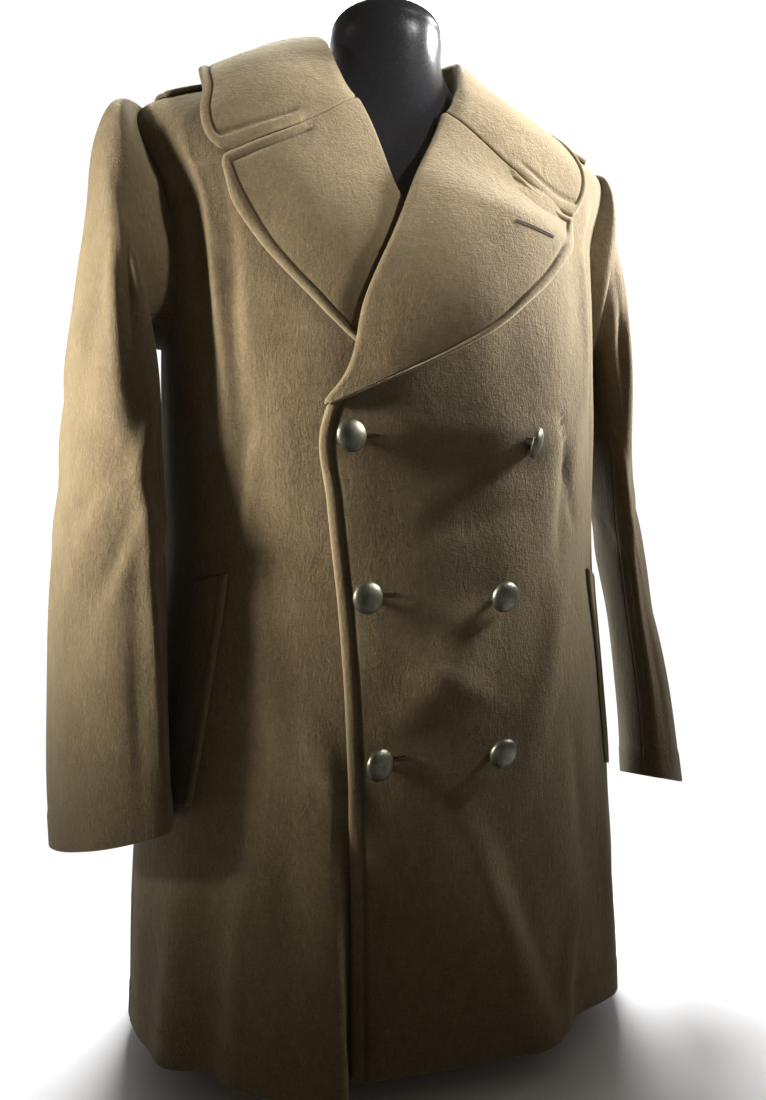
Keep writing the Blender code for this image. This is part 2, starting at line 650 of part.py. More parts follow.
def pocket_welt(side):
    """The slanted welt of a hip pocket."""
    sign = 1 if side == "left" else -1
    down = np.linspace(0, 1, 7)[:, None]
    spread = np.linspace(-1, 1, 4)[None, :]
    height = WELT_TOP + (WELT_FOOT - WELT_TOP) * down + 0.004 * spread
    middle = WELT_TOP_TURN + (WELT_FOOT_TURN - WELT_TOP_TURN) * down
    shares = np.linspace(0, 1, 201)
    share = np.interp(height, column(BODY_RINGS, "front_z", shares), shares)
    radius = column(BODY_RINGS, "half_width", share)
    turn = middle - spread * WELT_HALF / radius
    outer = body(side, turn * sign, share, WELT_CLEAR + WELT_THICK)
    inner = body(side, turn * sign, share, WELT_CLEAR)
    return wall(f"pocket_welt_{side}", outer, inner)


def button(place):
    """A domed button on a short shank, seated on the wearer's left front."""
    profile = (
        (0.0030, 0.0),
        (0.0026, BUTTON_SHANK),
        (BUTTON_RADIUS * 0.86, BUTTON_SHANK + 0.0006),
        (BUTTON_RADIUS, BUTTON_SHANK + 0.0020),
        (BUTTON_RADIUS * 0.97, BUTTON_SHANK + 0.0032),
        (BUTTON_RADIUS * 0.72, BUTTON_SHANK + 0.0030 + BUTTON_DOME * 0.55),
        (BUTTON_RADIUS * 0.38, BUTTON_SHANK + 0.0030 + BUTTON_DOME * 0.92),
    )
    sides = 12
    points = [(0, 0, 0)]
    for radius, height in profile:
        for k in range(sides):
            angle = 2 * math.pi * k / sides
            points.append((radius * math.cos(angle), radius * math.sin(angle), height))
    points.append((0, 0, BUTTON_SHANK + 0.0030 + BUTTON_DOME))
    last = len(points) - 1
    faces = []
    for k in range(sides):
        after = (k + 1) % sides
        faces.append((0, 1 + after, 1 + k))
        for ring in range(len(profile) - 1):
            low, high = 1 + ring * sides, 1 + (ring + 1) * sides
            faces.append((low + k, low + after, high + after, high + k))
        top = 1 + (len(profile) - 1) * sides
        faces.append((top + k, top + after, last))
    turn, share = ring_at(place.x, place.z)
    lift = float(over_lift(turn, share))
    seat = body("left", turn, share, lift + SEAM)
    out = body("left", turn, share, lift + 1) - body("left", turn, share, lift)
    droop = math.radians(place.droop)
    out = out * math.cos(droop) - np.array([0, 0, 1.0]) * math.sin(droop)
    out /= np.linalg.norm(out)
    side = np.cross([0, 0, 1.0], out)
    side /= np.linalg.norm(side)
    up = np.cross(out, side)
    lift_off = 0.0030 * math.sin(droop)
    placed = [seat + side * p[0] + up * p[1] + out * (p[2] + lift_off) for p in points]
    return new_object(place.name, placed, faces, "button_bronze", 60)


def form_point(turn, share):
    """A point of the form's torso, under the coat."""
    inset = column(FORM_INSETS, "inset", share)
    around = plain_body(turn + 1e-4, share) - plain_body(turn - 1e-4, share)
    upwards = plain_body(turn, share + 1e-4) - plain_body(turn, share - 1e-4)
    normal = np.cross(around, upwards)
    normal /= np.linalg.norm(normal, axis=-1, keepdims=True)
    return plain_body(turn, share) - normal * inset[..., None]


def dress_form():
    """A smooth limbless torso with a neck, flat underneath."""
    turns = np.linspace(0, 2 * math.pi, FORM_COLUMNS + 1)[:-1]
    rings = []
    low = form_point(turns, np.zeros(FORM_COLUMNS))
    low[:, 2] = 0
    rings.append(low)
    for share in np.linspace(0.06, 1, FORM_ROWS):
        rings.append(form_point(turns, np.full(FORM_COLUMNS, share)))
    for ring in NECK_RINGS:
        x, y = ring.radius * np.sin(turns), -ring.radius * np.cos(turns) - ring.forward
        rings.append(np.stack([x, y, np.full(FORM_COLUMNS, ring.z)], axis=-1))
    points = np.concatenate(rings)
    count = len(rings)
    faces = [tuple(range(FORM_COLUMNS))]
    for r in range(count - 1):
        for c in range(FORM_COLUMNS):
            after = (c + 1) % FORM_COLUMNS
            low, high = r * FORM_COLUMNS, (r + 1) * FORM_COLUMNS
            faces.append((low + c, low + after, high + after, high + c))
    top = (count - 1) * FORM_COLUMNS
    faces.append(tuple(top + c for c in range(FORM_COLUMNS)))
    return new_object("dress_form", points, faces, "form_black")


def clear_scene():
    for thing in list(bpy.data.objects):
        bpy.data.objects.remove(thing, do_unlink=True)


def main():
    clear_scene()
    dress_form()
    for side in ("left", "right"):
        front_panel(side)
        back_panel(side)
        sleeve_wall(side, "sleeve_top", HIND_SEAM - 2 * math.pi, FRONT_SEAM, SLEEVE_COLUMNS_TOP)
        sleeve_wall(side, "sleeve_under", FRONT_SEAM, HIND_SEAM, SLEEVE_COLUMNS_UNDER)
        lapel(side)
        shoulder_strap(side)
        pocket_welt(side)
    collar()
    for place in BUTTONS:
        button(place)


main()
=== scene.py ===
"""A short double-breasted wool military greatcoat on a limbless dress form, for looks.

Metres, +Z up, the floor at z = 0 and the wearer facing -Y, so the wearer's left is +X.
Every cloth piece is a closed shell on a fine grid over the same sections as the solids.
"""

import math
from collections import namedtuple

import bpy
import numpy as np
from bpy.props import FloatProperty, FloatVectorProperty, PointerProperty
from mathutils import Matrix, Vector


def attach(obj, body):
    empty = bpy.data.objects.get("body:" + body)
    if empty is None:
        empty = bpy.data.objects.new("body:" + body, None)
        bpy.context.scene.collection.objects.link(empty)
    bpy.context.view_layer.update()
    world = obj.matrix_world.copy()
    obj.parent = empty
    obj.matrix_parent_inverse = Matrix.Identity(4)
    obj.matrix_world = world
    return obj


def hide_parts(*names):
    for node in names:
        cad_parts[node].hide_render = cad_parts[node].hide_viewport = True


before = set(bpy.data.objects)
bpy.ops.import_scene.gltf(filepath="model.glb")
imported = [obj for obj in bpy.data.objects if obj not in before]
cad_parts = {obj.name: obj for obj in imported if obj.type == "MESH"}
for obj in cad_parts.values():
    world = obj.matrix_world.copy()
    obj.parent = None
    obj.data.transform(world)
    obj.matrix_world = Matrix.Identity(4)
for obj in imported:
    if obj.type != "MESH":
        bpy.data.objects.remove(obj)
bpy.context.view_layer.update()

bl_info = {
    "name": "Double-breasted greatcoat",
    "version": (1, 0, 0),
    "blender": (4, 5, 0),
    "location": "3D View > Sidebar > Greatcoat",
    "description": "Builds a short wool greatcoat on a dress form, piece by piece",
    "category": "Add Mesh",
}

# Cloth and seams
WALL = 0.0024
DOUBLE_WALL = 0.0032
SEAM = 0.0003
LAYER = WALL + 0.0008

# Shares of the coat's length from hem (0) to neckline (1)
ARMPIT = 0.66
SHOULDER_TIP = 0.88
ARMHOLE_MIDDLE = (ARMPIT + SHOULDER_TIP) / 2
ARMHOLE_HALF = (SHOULDER_TIP - ARMPIT) / 2
ARMHOLE_FRONT_TURN = math.radians(24)
ARMHOLE_BACK_TURN = math.radians(26)
ARMHOLE_CLEAR = math.radians(0.08)
ARMHOLE_TRIM = {"left": 0.0, "right": 0.50}
SIDE = math.pi / 2

# Buttons, 40 ligne
BUTTON_RADIUS = 0.0127
BUTTON_SHANK = 0.0065
BUTTON_DOME = 0.0058

BodyRing = namedtuple("BodyRing", "share side_z front_z back_z half_width front back squareness")
BODY_RINGS = (
    BodyRing(0.00, 0.028, 0.028, 0.028, 0.229, 0.160, 0.162, 2.1),
    BodyRing(0.16, 0.165, 0.165, 0.165, 0.225, 0.154, 0.157, 2.1),
    BodyRing(0.32, 0.300, 0.300, 0.300, 0.213, 0.147, 0.148, 2.2),
    BodyRing(0.46, 0.425, 0.425, 0.425, 0.200, 0.137, 0.130, 2.3),
    BodyRing(0.58, 0.530, 0.525, 0.530, 0.200, 0.134, 0.132, 2.4),
    BodyRing(ARMPIT, 0.600, 0.590, 0.600, 0.200, 0.130, 0.136, 2.4),
    BodyRing(0.77, 0.710, 0.675, 0.695, 0.204, 0.115, 0.134, 2.2),
    BodyRing(SHOULDER_TIP, 0.797, 0.748, 0.770, 0.216, 0.087, 0.118, 2.0),
    BodyRing(0.94, 0.822, 0.785, 0.812, 0.148, 0.074, 0.088, 2.0),
    BodyRing(1.00, 0.840, 0.805, 0.838, 0.068, 0.062, 0.058, 2.0),
)

# The front edge: its height and how far it passes the centre front
EdgePoint = namedtuple("EdgePoint", "height past_centre")
OVER_EDGE = (
    EdgePoint(0.000, 0.080),
    EdgePoint(0.240, 0.080),
    EdgePoint(0.377, 0.0845),
    EdgePoint(0.468, 0.0925),
    EdgePoint(0.522, 0.097),
    EdgePoint(0.545, 0.089),
    EdgePoint(0.557, 0.080),
    EdgePoint(0.623, 0.0585),
    EdgePoint(0.702, 0.0205),
    EdgePoint(0.749, -0.003),
    EdgePoint(0.795, -0.031),
    EdgePoint(0.812, -0.041),
)
UNDER_EDGE = (
    EdgePoint(0.000, 0.072),
    EdgePoint(0.390, 0.072),
    EdgePoint(0.470, 0.074),
    EdgePoint(0.520, 0.064),
    EdgePoint(0.560, 0.045),
    EdgePoint(0.630, 0.012),
    EdgePoint(0.705, -0.022),
    EdgePoint(0.761, -0.040),
    EdgePoint(0.795, -0.051),
    EdgePoint(0.812, -0.059),
)

# Soft folds of the body: a ridge (or, under zero, a trough) that runs between two heights,
# at the turn from the centre front given in degrees, positive towards the wearer's left
BodyFold = namedtuple("BodyFold", "low_turn high_turn low_z high_z width depth")
BODY_FOLDS = (
    BodyFold(-54, -46, 0.00, 0.36, 6, -0.007),
    BodyFold(-64, -56, 0.00, 0.33, 6, 0.008),
    BodyFold(-47, -52, 0.52, 0.80, 7, 0.004),
    BodyFold(22, -8, 0.00, 0.31, 8, 0.012),
    BodyFold(38, 14, 0.00, 0.26, 7, -0.007),
    BodyFold(54, 46, 0.00, 0.33, 7, 0.006),
    BodyFold(-8, 10, 0.28, 0.40, 6, 0.004),
    BodyFold(44, 50, 0.50, 0.80, 7, 0.004),
    BodyFold(120, 128, 0.00, 0.38, 9, 0.010),
    BodyFold(143, 150, 0.00, 0.34, 8, -0.008),
    BodyFold(165, 170, 0.00, 0.40, 8, 0.009),
    BodyFold(-123, -130, 0.00, 0.35, 9, 0.011),
    BodyFold(-146, -152, 0.00, 0.37, 8, -0.009),
    BodyFold(-166, -170, 0.00, 0.33, 8, 0.007),
)

# The right front swings forward at the hem, close beside the left front's edge
SWING_DEPTH = 0.038
SWING_START = 0.0035
SWING_RISE = 0.0105
SWING_SPREAD = 0.085
SWING_TOP = 0.31

# Sections of the wearer's left sleeve: the middle of each, half its size across
# (body to outside) and from front to back, how far it leans out of level, and how far
# its front turns in towards the body
SleeveRing = namedtuple(
    "SleeveRing", "share x y z half_across half_depth lean turn_in own left_out left_back"
)
SLEEVE_RINGS = (
    SleeveRing(0.00, 0.216, 0.000, 0.700, 0.100, 0.064, 86, 0, 0.00, 0.000, 0.000),
    SleeveRing(0.05, 0.225, -0.003, 0.699, 0.099, 0.059, 82, 0, 0.70, -0.014, 0.006),
    SleeveRing(0.12, 0.236, -0.006, 0.682, 0.086, 0.062, 78, 2, 1.00, -0.023, 0.015),
    SleeveRing(0.22, 0.241, -0.014, 0.650, 0.067, 0.066, 70, 4, 1.00, -0.017, 0.026),
    SleeveRing(0.34, 0.245, -0.019, 0.602, 0.055, 0.067, 58, 7, 1.00, -0.012, 0.030),
    SleeveRing(0.48, 0.250, -0.025, 0.535, 0.046, 0.069, 42, 11, 1.00, -0.008, 0.030),
    SleeveRing(0.62, 0.252, -0.032, 0.455, 0.041, 0.071, 28, 16, 1.00, -0.005, 0.026),
    SleeveRing(0.78, 0.253, -0.040, 0.358, 0.037, 0.073, 16, 22, 1.00, 0.004, 0.018),
    SleeveRing(0.90, 0.251, -0.046, 0.275, 0.034, 0.073, 2, 26, 1.00, 0.013, 0.010),
    SleeveRing(1.00, 0.249, -0.050, 0.202, 0.032, 0.073, -8, 28, 1.00, 0.018, 0.006),
)
# The left sleeve hangs flatter and further round: its share, how slim and the added turn
SlimRing = namedtuple("SlimRing", "share slim depth more_turn")
LEFT_SLIM = (
    SlimRing(0.00, 1.00, 1.00, 0),
    SlimRing(0.12, 0.93, 1.00, 1),
    SlimRing(0.22, 0.88, 0.97, 2),
    SlimRing(0.34, 0.80, 0.96, 3),
    SlimRing(0.48, 0.56, 0.94, 5),
    SlimRing(0.62, 0.48, 0.92, 6),
    SlimRing(0.78, 0.54, 0.94, 6),
    SlimRing(0.90, 0.70, 0.98, 3),
    SlimRing(1.00, 0.85, 1.00, 1),
)
# The right sleeve hangs this much nearer the side at its middle
RIGHT_INWARDS = 0.006
# How high the sleeve's head stands off the armhole's edge
HEAD_RISE = 0.0052
# How far the cuff rises at the front for each metre forwards, and how pointed the crease is
CUFF_RISE = 0.24
SLEEVE_SQUARE_TOP = 2.2
SLEEVE_SQUARE_CUFF = 1.8

# The sleeve's seams, as turns about its own middle from the outer side by way of the front
FRONT_SEAM = math.radians(120)
HIND_SEAM = math.radians(240)

SleeveFold = namedtuple("SleeveFold", "turn share wide tall depth")
SLEEVE_FOLDS = (
    SleeveFold(62, 0.56, 26, 0.035, -0.006),
    SleeveFold(100, 0.64, 20, 0.045, 0.007),
    SleeveFold(20, 0.50, 34, 0.030, -0.004),
    SleeveFold(-40, 0.60, 40, 0.040, -0.004),
    SleeveFold(80, 0.30, 18, 0.060, -0.004),
    SleeveFold(205, 0.60, 30, 0.040, -0.006),
)

# Lapels, up from the break to the collar: the roll line and the outer edge, in the front
# view, with the distance that the edge stands off the chest
LapelStation = namedtuple("LapelStation", "share roll_z edge_x edge_z stand_off")
LEFT_LAPEL = (
    LapelStation(0.00, 0.541, -0.0905, 0.5400, 0.001),
    LapelStation(0.12, 0.578, -0.040, 0.562, 0.003),
    LapelStation(0.28, 0.616, 0.022, 0.592, 0.007),
    LapelStation(0.48, 0.662, 0.072, 0.628, 0.010),
    LapelStation(0.72, 0.717, 0.118, 0.674, 0.009),
    LapelStation(0.90, 0.765, 0.142, 0.706, 0.007),
    LapelStation(1.00, 0.802, 0.154, 0.727, 0.005),
)
RIGHT_LAPEL = (
    LapelStation(0.00, 0.535, -0.045, 0.530, 0.000),
    LapelStation(0.14, 0.570, 0.020, 0.555, 0.000),
    LapelStation(0.30, 0.612, 0.075, 0.595, 0.002),
    LapelStation(0.48, 0.658, 0.105, 0.626, 0.004),
    LapelStation(0.72, 0.717, 0.139, 0.668, 0.006),
    LapelStation(0.90, 0.765, 0.156, 0.703, 0.006),
    LapelStation(1.00, 0.802, 0.166, 0.727, 0.005),
)
LAPEL_CLEAR = 0.0012
LAPEL_CROWN = 0.005

# Collar, from the centre back (0) to its front end (1): its fold and its outer edge as turns
# in degrees and shares of the body under them, how far the fold stands up, how far the edge
# stands off, and the bulge between them
CollarStation = namedtuple(
    "CollarStation", "share fold_turn fold_share fold_up edge_turn edge_share edge_off crown"
)
COLLAR = (
    CollarStation(0.00, 180, 1.000, 0.045, 180, 0.912, 0.007, 0.009),
    CollarStation(0.20, 145, 1.000, 0.045, 148, 0.910, 0.008, 0.009),
    CollarStation(0.40, 105, 1.000, 0.041, 118, 0.920, 0.012, 0.009),
    CollarStation(0.55, 82, 1.000, 0.034, 100, 0.932, 0.013, 0.009),
    CollarStation(0.72, 60, 0.998, 0.024, 82, 0.927, 0.012, 0.008),
    CollarStation(0.87, 38, 0.986, 0.012, 58, 0.893, 0.008, 0.006),
    CollarStation(1.00, 22, 0.968, 0.002, 45, 0.823, 0.005, 0.004),
)
COLLAR_LIFT = 0.0052
COLLAR_FOOT_LIFT = 0.0024
GORGE_DIP = 0.012
NECK_SHIFT = 0.009
# Each collar end: how far it dips, how far its corner drops and how flat its fall lies
COLLAR_SET = {"left": (0.040, 0.016, 0.85), "right": (0.018, 0.000, 0.20)}
# Each collar side near its shoulder: how much shorter its fall is, and how far it turns back
COLLAR_TRIM = {"left": (0.015, 0.0), "right": (0.0, 4.0)}
NOTCH_GAP = 0.0008
# Lengths and depths over which the collar's and lapels' edges are laid out, and where on them
# the slit between the two opens
COLLAR_RUN = 0.40
COLLAR_DEEP = 0.135
LAPEL_RUN = 0.30
LAPEL_DEEP = 0.150
NOTCH_AT = 0.24

# Shoulder straps and pocket welts
STRAP_HALF = 0.022
STRAP_THICK = 0.003
STRAP_START = SHOULDER_TIP + 0.012
STRAP_END = 0.955
WELT_HALF = 0.022
WELT_THICK = 0.0018
WELT_CLEAR = 0.0004
WELT_TOP_TURN = math.radians(57)
WELT_FOOT_TURN = math.radians(63)
WELT_TOP = 0.408
WELT_FOOT = 0.228

# Buttons: how far to the wearer's left, how high, and in degrees how far each droops and is
# turned to the wearer's left
ButtonPlace = namedtuple("ButtonPlace", "name x z droop aside")
BUTTONS = (
    ButtonPlace("button_fastened_1", -0.0800, 0.5165, 4, 24),
    ButtonPlace("button_fastened_2", -0.0675, 0.3940, 6, 22),
    ButtonPlace("button_fastened_3", -0.0635, 0.2690, 6, 34),
    ButtonPlace("button_outer_1", 0.0670, 0.5195, 24, 44),
    ButtonPlace("button_outer_2", 0.0475, 0.3940, 20, 8),
    ButtonPlace("button_outer_3", 0.0415, 0.2715, 20, 4),
)
# How far a button's middle lifts as it is turned on its edge
BUTTON_LIFT = 0.0045
# The angle in degrees over which an edge of a button or of the form is sharp
RIM_SHARP = 50
FORM_SHARP = 60

# The form: how far it lies inside the coat, from the base to the neckline
FormInset = namedtuple("FormInset", "share inset")
FORM_INSETS = (
    FormInset(0.00, 0.052),
    FormInset(0.30, 0.034),
    FormInset(0.46, 0.022),
    FormInset(0.60, 0.014),
    FormInset(0.77, 0.008),
    FormInset(SHOULDER_TIP, WALL + 0.0018),
    FormInset(1.00, WALL + 0.0018),
)
NeckRing = namedtuple("NeckRing", "z radius forward")
NECK_RINGS = (
    NeckRing(0.850, 0.0530, 0.000),
    NeckRing(0.875, 0.0510, 0.002),
    NeckRing(0.893, 0.0505, 0.003),
    NeckRing(0.906, 0.0450, 0.004),
    NeckRing(0.914, 0.0320, 0.004),
    NeckRing(0.918, 0.0130, 0.004),
)
# Where the neck grows out of the torso, and its rounded cap
NECK_FOOT = 0.872
CAP_FOOT = 0.893
CAP_HIGH = 0.025
CAP_RADIUS = 0.0505

# Small creases: where each lies, how far it runs along its slant from level (degrees) and
# across it, and its height; on the body the place is a turn in degrees and a height
Crease = namedtuple("Crease", "turn height slant long wide depth")
BODY_CREASES = (
    Crease(-20, 0.235, 118, 0.060, 0.011, 0.0030),
    Crease(9, 0.150, 112, 0.075, 0.012, 0.0040),
    Crease(17, 0.120, 108, 0.080, 0.013, -0.0040),
    Crease(-3, 0.335, 150, 0.050, 0.010, 0.0028),
    Crease(8, 0.455, 20, 0.035, 0.012, -0.0020),
    Crease(26, 0.340, 70, 0.070, 0.014, 0.0030),
    Crease(33, 0.470, 84, 0.060, 0.010, -0.0024),
    Crease(36, 0.215, 96, 0.060, 0.012, -0.0030),
    Crease(30, 0.070, 80, 0.035, 0.010, 0.0040),
    Crease(49, 0.120, 94, 0.080, 0.014, 0.0045),
    Crease(60, 0.300, 88, 0.090, 0.014, -0.0030),
    Crease(-38, 0.330, 100, 0.070, 0.013, 0.0026),
    Crease(-33, 0.130, 92, 0.090, 0.016, -0.0040),
    Crease(-45, 0.100, 86, 0.070, 0.010, 0.0040),
    Crease(-60, 0.650, 98, 0.090, 0.008, -0.0058),
    Crease(-54, 0.660, 96, 0.100, 0.008, 0.0050),
    Crease(-48, 0.630, 92, 0.090, 0.009, -0.0036),
    Crease(-45, 0.480, 84, 0.050, 0.010, 0.0018),
    Crease(47, 0.640, 84, 0.070, 0.009, 0.0030),
    Crease(54, 0.620, 88, 0.080, 0.009, -0.0050),
    Crease(118, 0.470, 70, 0.060, 0.012, 0.0030),
    Crease(128, 0.600, 80, 0.070, 0.012, -0.0030),
    Crease(150, 0.250, 96, 0.090, 0.014, 0.0030),
    Crease(166, 0.440, 20, 0.060, 0.012, -0.0024),
    Crease(-112, 0.480, 108, 0.060, 0.012, 0.0030),
    Crease(-132, 0.610, 100, 0.070, 0.012, -0.0032),
    Crease(-156, 0.300, 84, 0.090, 0.014, 0.0030),
    Crease(-168, 0.470, 160, 0.060, 0.012, -0.0024),
)
SLEEVE_CREASES = (
    Crease(78, 0.66, 62, 0.050, 0.008, 0.0040),
    Crease(58, 0.70, 55, 0.050, 0.010, -0.0040),
    Crease(92, 0.78, 92, 0.110, 0.009, 0.0060),
    Crease(70, 0.88, 88, 0.060, 0.010, -0.0030),
    Crease(40, 0.62, 40, 0.045, 0.010, -0.0030),
    Crease(24, 0.70, 60, 0.060, 0.012, 0.0030),
    Crease(60, 0.34, 96, 0.080, 0.010, 0.0040),
    Crease(84, 0.30, 92, 0.080, 0.009, -0.0044),
    Crease(36, 0.44, 80, 0.070, 0.012, -0.0026),
    Crease(104, 0.50, 70, 0.060, 0.009, 0.0040),
    Crease(10, 0.30, 90, 0.090, 0.014, 0.0026),
    Crease(-20, 0.52, 120, 0.060, 0.012, -0.0030),
    Crease(-50, 0.66, 60, 0.060, 0.012, 0.0034),
    Crease(-70, 0.40, 95, 0.080, 0.012, -0.0034),
    Crease(-90, 0.72, 70, 0.050, 0.010, -0.0040),
    Crease(150, 0.62, 40, 0.050, 0.010, -0.0050),
    Crease(185, 0.58, 20, 0.050, 0.012, 0.0040),
    Crease(210, 0.50, 60, 0.060, 0.012, -0.0036),
)
BODY_RADIUS = 0.21
SLEEVE_RADIUS = 0.062
SLEEVE_LENGTH = 0.60

# Darts, as x and height at their two ends
Dart = namedtuple("Dart", "side top_x top_z foot_x foot_z")
DARTS = (
    Dart("right", 0.1456, 0.541, 0.1611, 0.415),
    Dart("left", 0.1070, 0.552, 0.1400, 0.440),
)
# Each dart's seam and the hollow about it: how deep and how wide
DART_SEAM = (0.0016, 0.0042)
DART_HOLLOW = (0.0012, 0.010)

SMALL_STEP = 1e-4


def smooth_step(t):
    """0 below 0, 1 above 1, and an even S between."""
    t = np.clip(t, 0.0, 1.0)
    return t * t * (3 - 2 * t)


def curve(knots, values, at):
    """A smooth curve through the values at the knots, read at each place of at."""
    knots, values, at = (np.asarray(a, float) for a in (knots, values, at))
    step = np.diff(knots)
    slope = np.diff(values) / step
    tangent = np.concatenate([slope[:1], slope])
    tangent[1:-1] = (slope[:-1] * step[1:] + slope[1:] * step[:-1]) / (step[1:] + step[:-1])
    i = np.clip(np.searchsorted(knots, at, side="right") - 1, 0, len(step) - 1)
    t = (at - knots[i]) / step[i]
    rise = (t**3 - 2 * t**2 + t) * tangent[i] + (t**3 - t**2) * tangent[i + 1]
    return values[i] + (3 * t**2 - 2 * t**3) * (values[i + 1] - values[i]) + rise * step[i]


def column(table, name, at):
    """One named column of a table, on a smooth curve over the table's first column."""
    return curve([row[0] for row in table], [getattr(row, name) for row in table], at)


def rounded(cosine_or_sine, squareness):
    """The cosine or sine of a squared-off ellipse."""
    return np.sign(cosine_or_sine) * np.abs(cosine_or_sine) ** (2 / squareness)


def plain_body(turn, share):
    """A point of the coat's outer face without its folds. turn is 0 at the centre front."""
    sine, cosine = np.sin(turn), np.cos(turn)
    squareness = column(BODY_RINGS, "squareness", share)
    facing_front = smooth_step((cosine + 0.25) / 0.5)
    depth = column(BODY_RINGS, "back", share) * (1 - facing_front)
    depth = depth + column(BODY_RINGS, "front", share) * facing_front
    end_z = column(BODY_RINGS, "back_z", share) * (1 - facing_front)
    end_z = end_z + column(BODY_RINGS, "front_z", share) * facing_front
    sideways = sine**2
    z = end_z + (column(BODY_RINGS, "side_z", share) - end_z) * sideways
    x = column(BODY_RINGS, "half_width", share) * rounded(sine, squareness)
    y = -depth * rounded(cosine, squareness)
    return np.stack(np.broadcast_arrays(x, y, z), axis=-1)


def fold_push(turn, z):
    """How far the folds push the body's face out."""
    push = np.zeros(np.broadcast(turn, z).shape)
    for fold in BODY_FOLDS:
        climb = (z - fold.low_z) / (fold.high_z - fold.low_z)
        middle = math.radians(fold.low_turn)
        middle = middle + math.radians(fold.high_turn - fold.low_turn) * np.clip(climb, 0, 1)
        away = (turn - middle) / math.radians(fold.width)
        if fold.low_z > 0:
            fade = smooth_step(climb * 3) * smooth_step((1 - climb) * 3)
        else:
            fade = 1 - smooth_step(climb)
        push = push + fold.depth * np.exp(-(away**2)) * fade
    return push


def crease_push(creases, turn, height, radius, length):
    """How far the small creases push a face out."""
    push = np.zeros(np.broadcast(turn, height).shape)
    for crease in creases:
        across = (turn - math.radians(crease.turn)) * radius
        along = (height - crease.height) * length
        slant = math.radians(crease.slant)
        far = (across * math.cos(slant) + along * math.sin(slant)) / crease.long
        near = (along * math.cos(slant) - across * math.sin(slant)) / crease.wide
        push = push + crease.depth * np.exp(-(far**2) - near**2)
    return push


def unevenness(a, b):
    """A soft, repeatable waviness between about -1 and 1."""
    wave = np.sin(1.0 * a + 0.7 * b + 0.4) + np.sin(1.7 * a - 1.3 * b + 2.1)
    wave = wave + np.sin(0.6 * a + 1.9 * b + 4.4) + np.sin(2.6 * a + 0.5 * b + 1.3)
    return wave / 4


def dart_pull(panel, point):
    """How far the darts draw their front's face in."""
    pull = np.zeros(point.shape[:-1])
    for dart in DARTS:
        if dart.side != panel:
            continue
        sign = 1 if dart.side == "left" else -1
        x, z = point[..., 0] * sign, point[..., 2]
        down = (dart.top_z - z) / (dart.top_z - dart.foot_z)
        off = x - (dart.top_x + (dart.foot_x - dart.top_x) * down)
        inside = smooth_step(down * 8) * smooth_step((1 - down) * 5)
        for depth, wide in (DART_SEAM, DART_HOLLOW):
            pull = pull + depth * inside * np.exp(-((off / wide) ** 2))
    return pull


def swing_push(point):
    """How far the right front swings forward at a point of its plain face."""
    height = point[..., 2]
    beyond = -point[..., 0] - past_centre(OVER_EDGE, height) - SWING_START
    rise = smooth_step(beyond / SWING_RISE)
    spread = np.exp(-((np.maximum(beyond - SWING_RISE, 0) / SWING_SPREAD) ** 2))
    return SWING_DEPTH * rise * spread * (1 - smooth_step(height / SWING_TOP))


def body(panel, turn, share, out=0.0):
    """A point of one panel's outer face, moved out by a distance along its normal."""

    def place(a, b):
        point = plain_body(a, b)
        turn_about = np.where(np.abs(a) > math.pi, a - 2 * math.pi * np.sign(a), a)
        push = fold_push(turn_about, point[..., 2])
        push = push + crease_push(BODY_CREASES, turn_about, point[..., 2], BODY_RADIUS, 1.0)
        push = push + unevenness(turn_about * 9, point[..., 2] * 34) * 0.0009
        push = push - dart_pull(panel, point)
        outwards = np.stack([np.sin(a), -np.cos(a), np.zeros_like(a)], axis=-1)
        moved = point + outwards * push[..., None]
        if panel == "right":
            moved[..., 1] -= swing_push(point)
        return moved

    turn, share = np.broadcast_arrays(np.asarray(turn, float), np.asarray(share, float))
    around = place(turn + SMALL_STEP, share) - place(turn - SMALL_STEP, share)
    upwards = place(turn, share + SMALL_STEP) - place(turn, share - SMALL_STEP)
    normal = np.cross(around, upwards)
    normal /= np.linalg.norm(normal, axis=-1, keepdims=True)
    return place(turn, share) + normal * np.asarray(out)[..., None]


def turn_at(x, share):
    """The turn at which the front, on a ring, lies x to the wearer's left."""
    width = column(BODY_RINGS, "half_width", share)
    power = column(BODY_RINGS, "squareness", share) / 2
    return np.sign(x) * np.arcsin(np.clip(np.abs(x) / width, 0, 0.9999) ** power)


def ring_at(x, z):
    """The turn and share of the front's point at x, z in the front view."""
    x, z = np.asarray(x, float), np.asarray(z, float)
    shares = np.linspace(0, 1, 201)
    share = np.interp(z, column(BODY_RINGS, "front_z", shares), shares)
    for _ in range(12):
        turn = turn_at(x, share)
        miss = z - plain_body(turn, share)[..., 2]
        share = np.clip(share + miss * 0.9, 0, 1)
    return turn_at(x, share), share


def past_centre(edge, height):
    """How far a front edge passes the centre front at a height."""
    return curve([point.height for point in edge], [point.past_centre for point in edge], height)


def edge_turn(edge, share):
    """The turn of a front edge on a ring, counted away from its own side."""
    return turn_at(past_centre(edge, column(BODY_RINGS, "front_z", share)), share)


def armhole_turn(share, widest, side="left"):
    """How far the armhole's edge lies from the side, on a ring."""
    reach = np.clip((share - ARMHOLE_MIDDLE) / ARMHOLE_HALF, -1, 1)
    return widest * np.sqrt(1 - reach**2) * armhole_trim(reach, side)


def armhole_trim(reach, side):
    """The right armhole's front edge lies further out in its upper half."""
    return 1 - ARMHOLE_TRIM[side] * smooth_step((reach + 0.95) / 1.1)


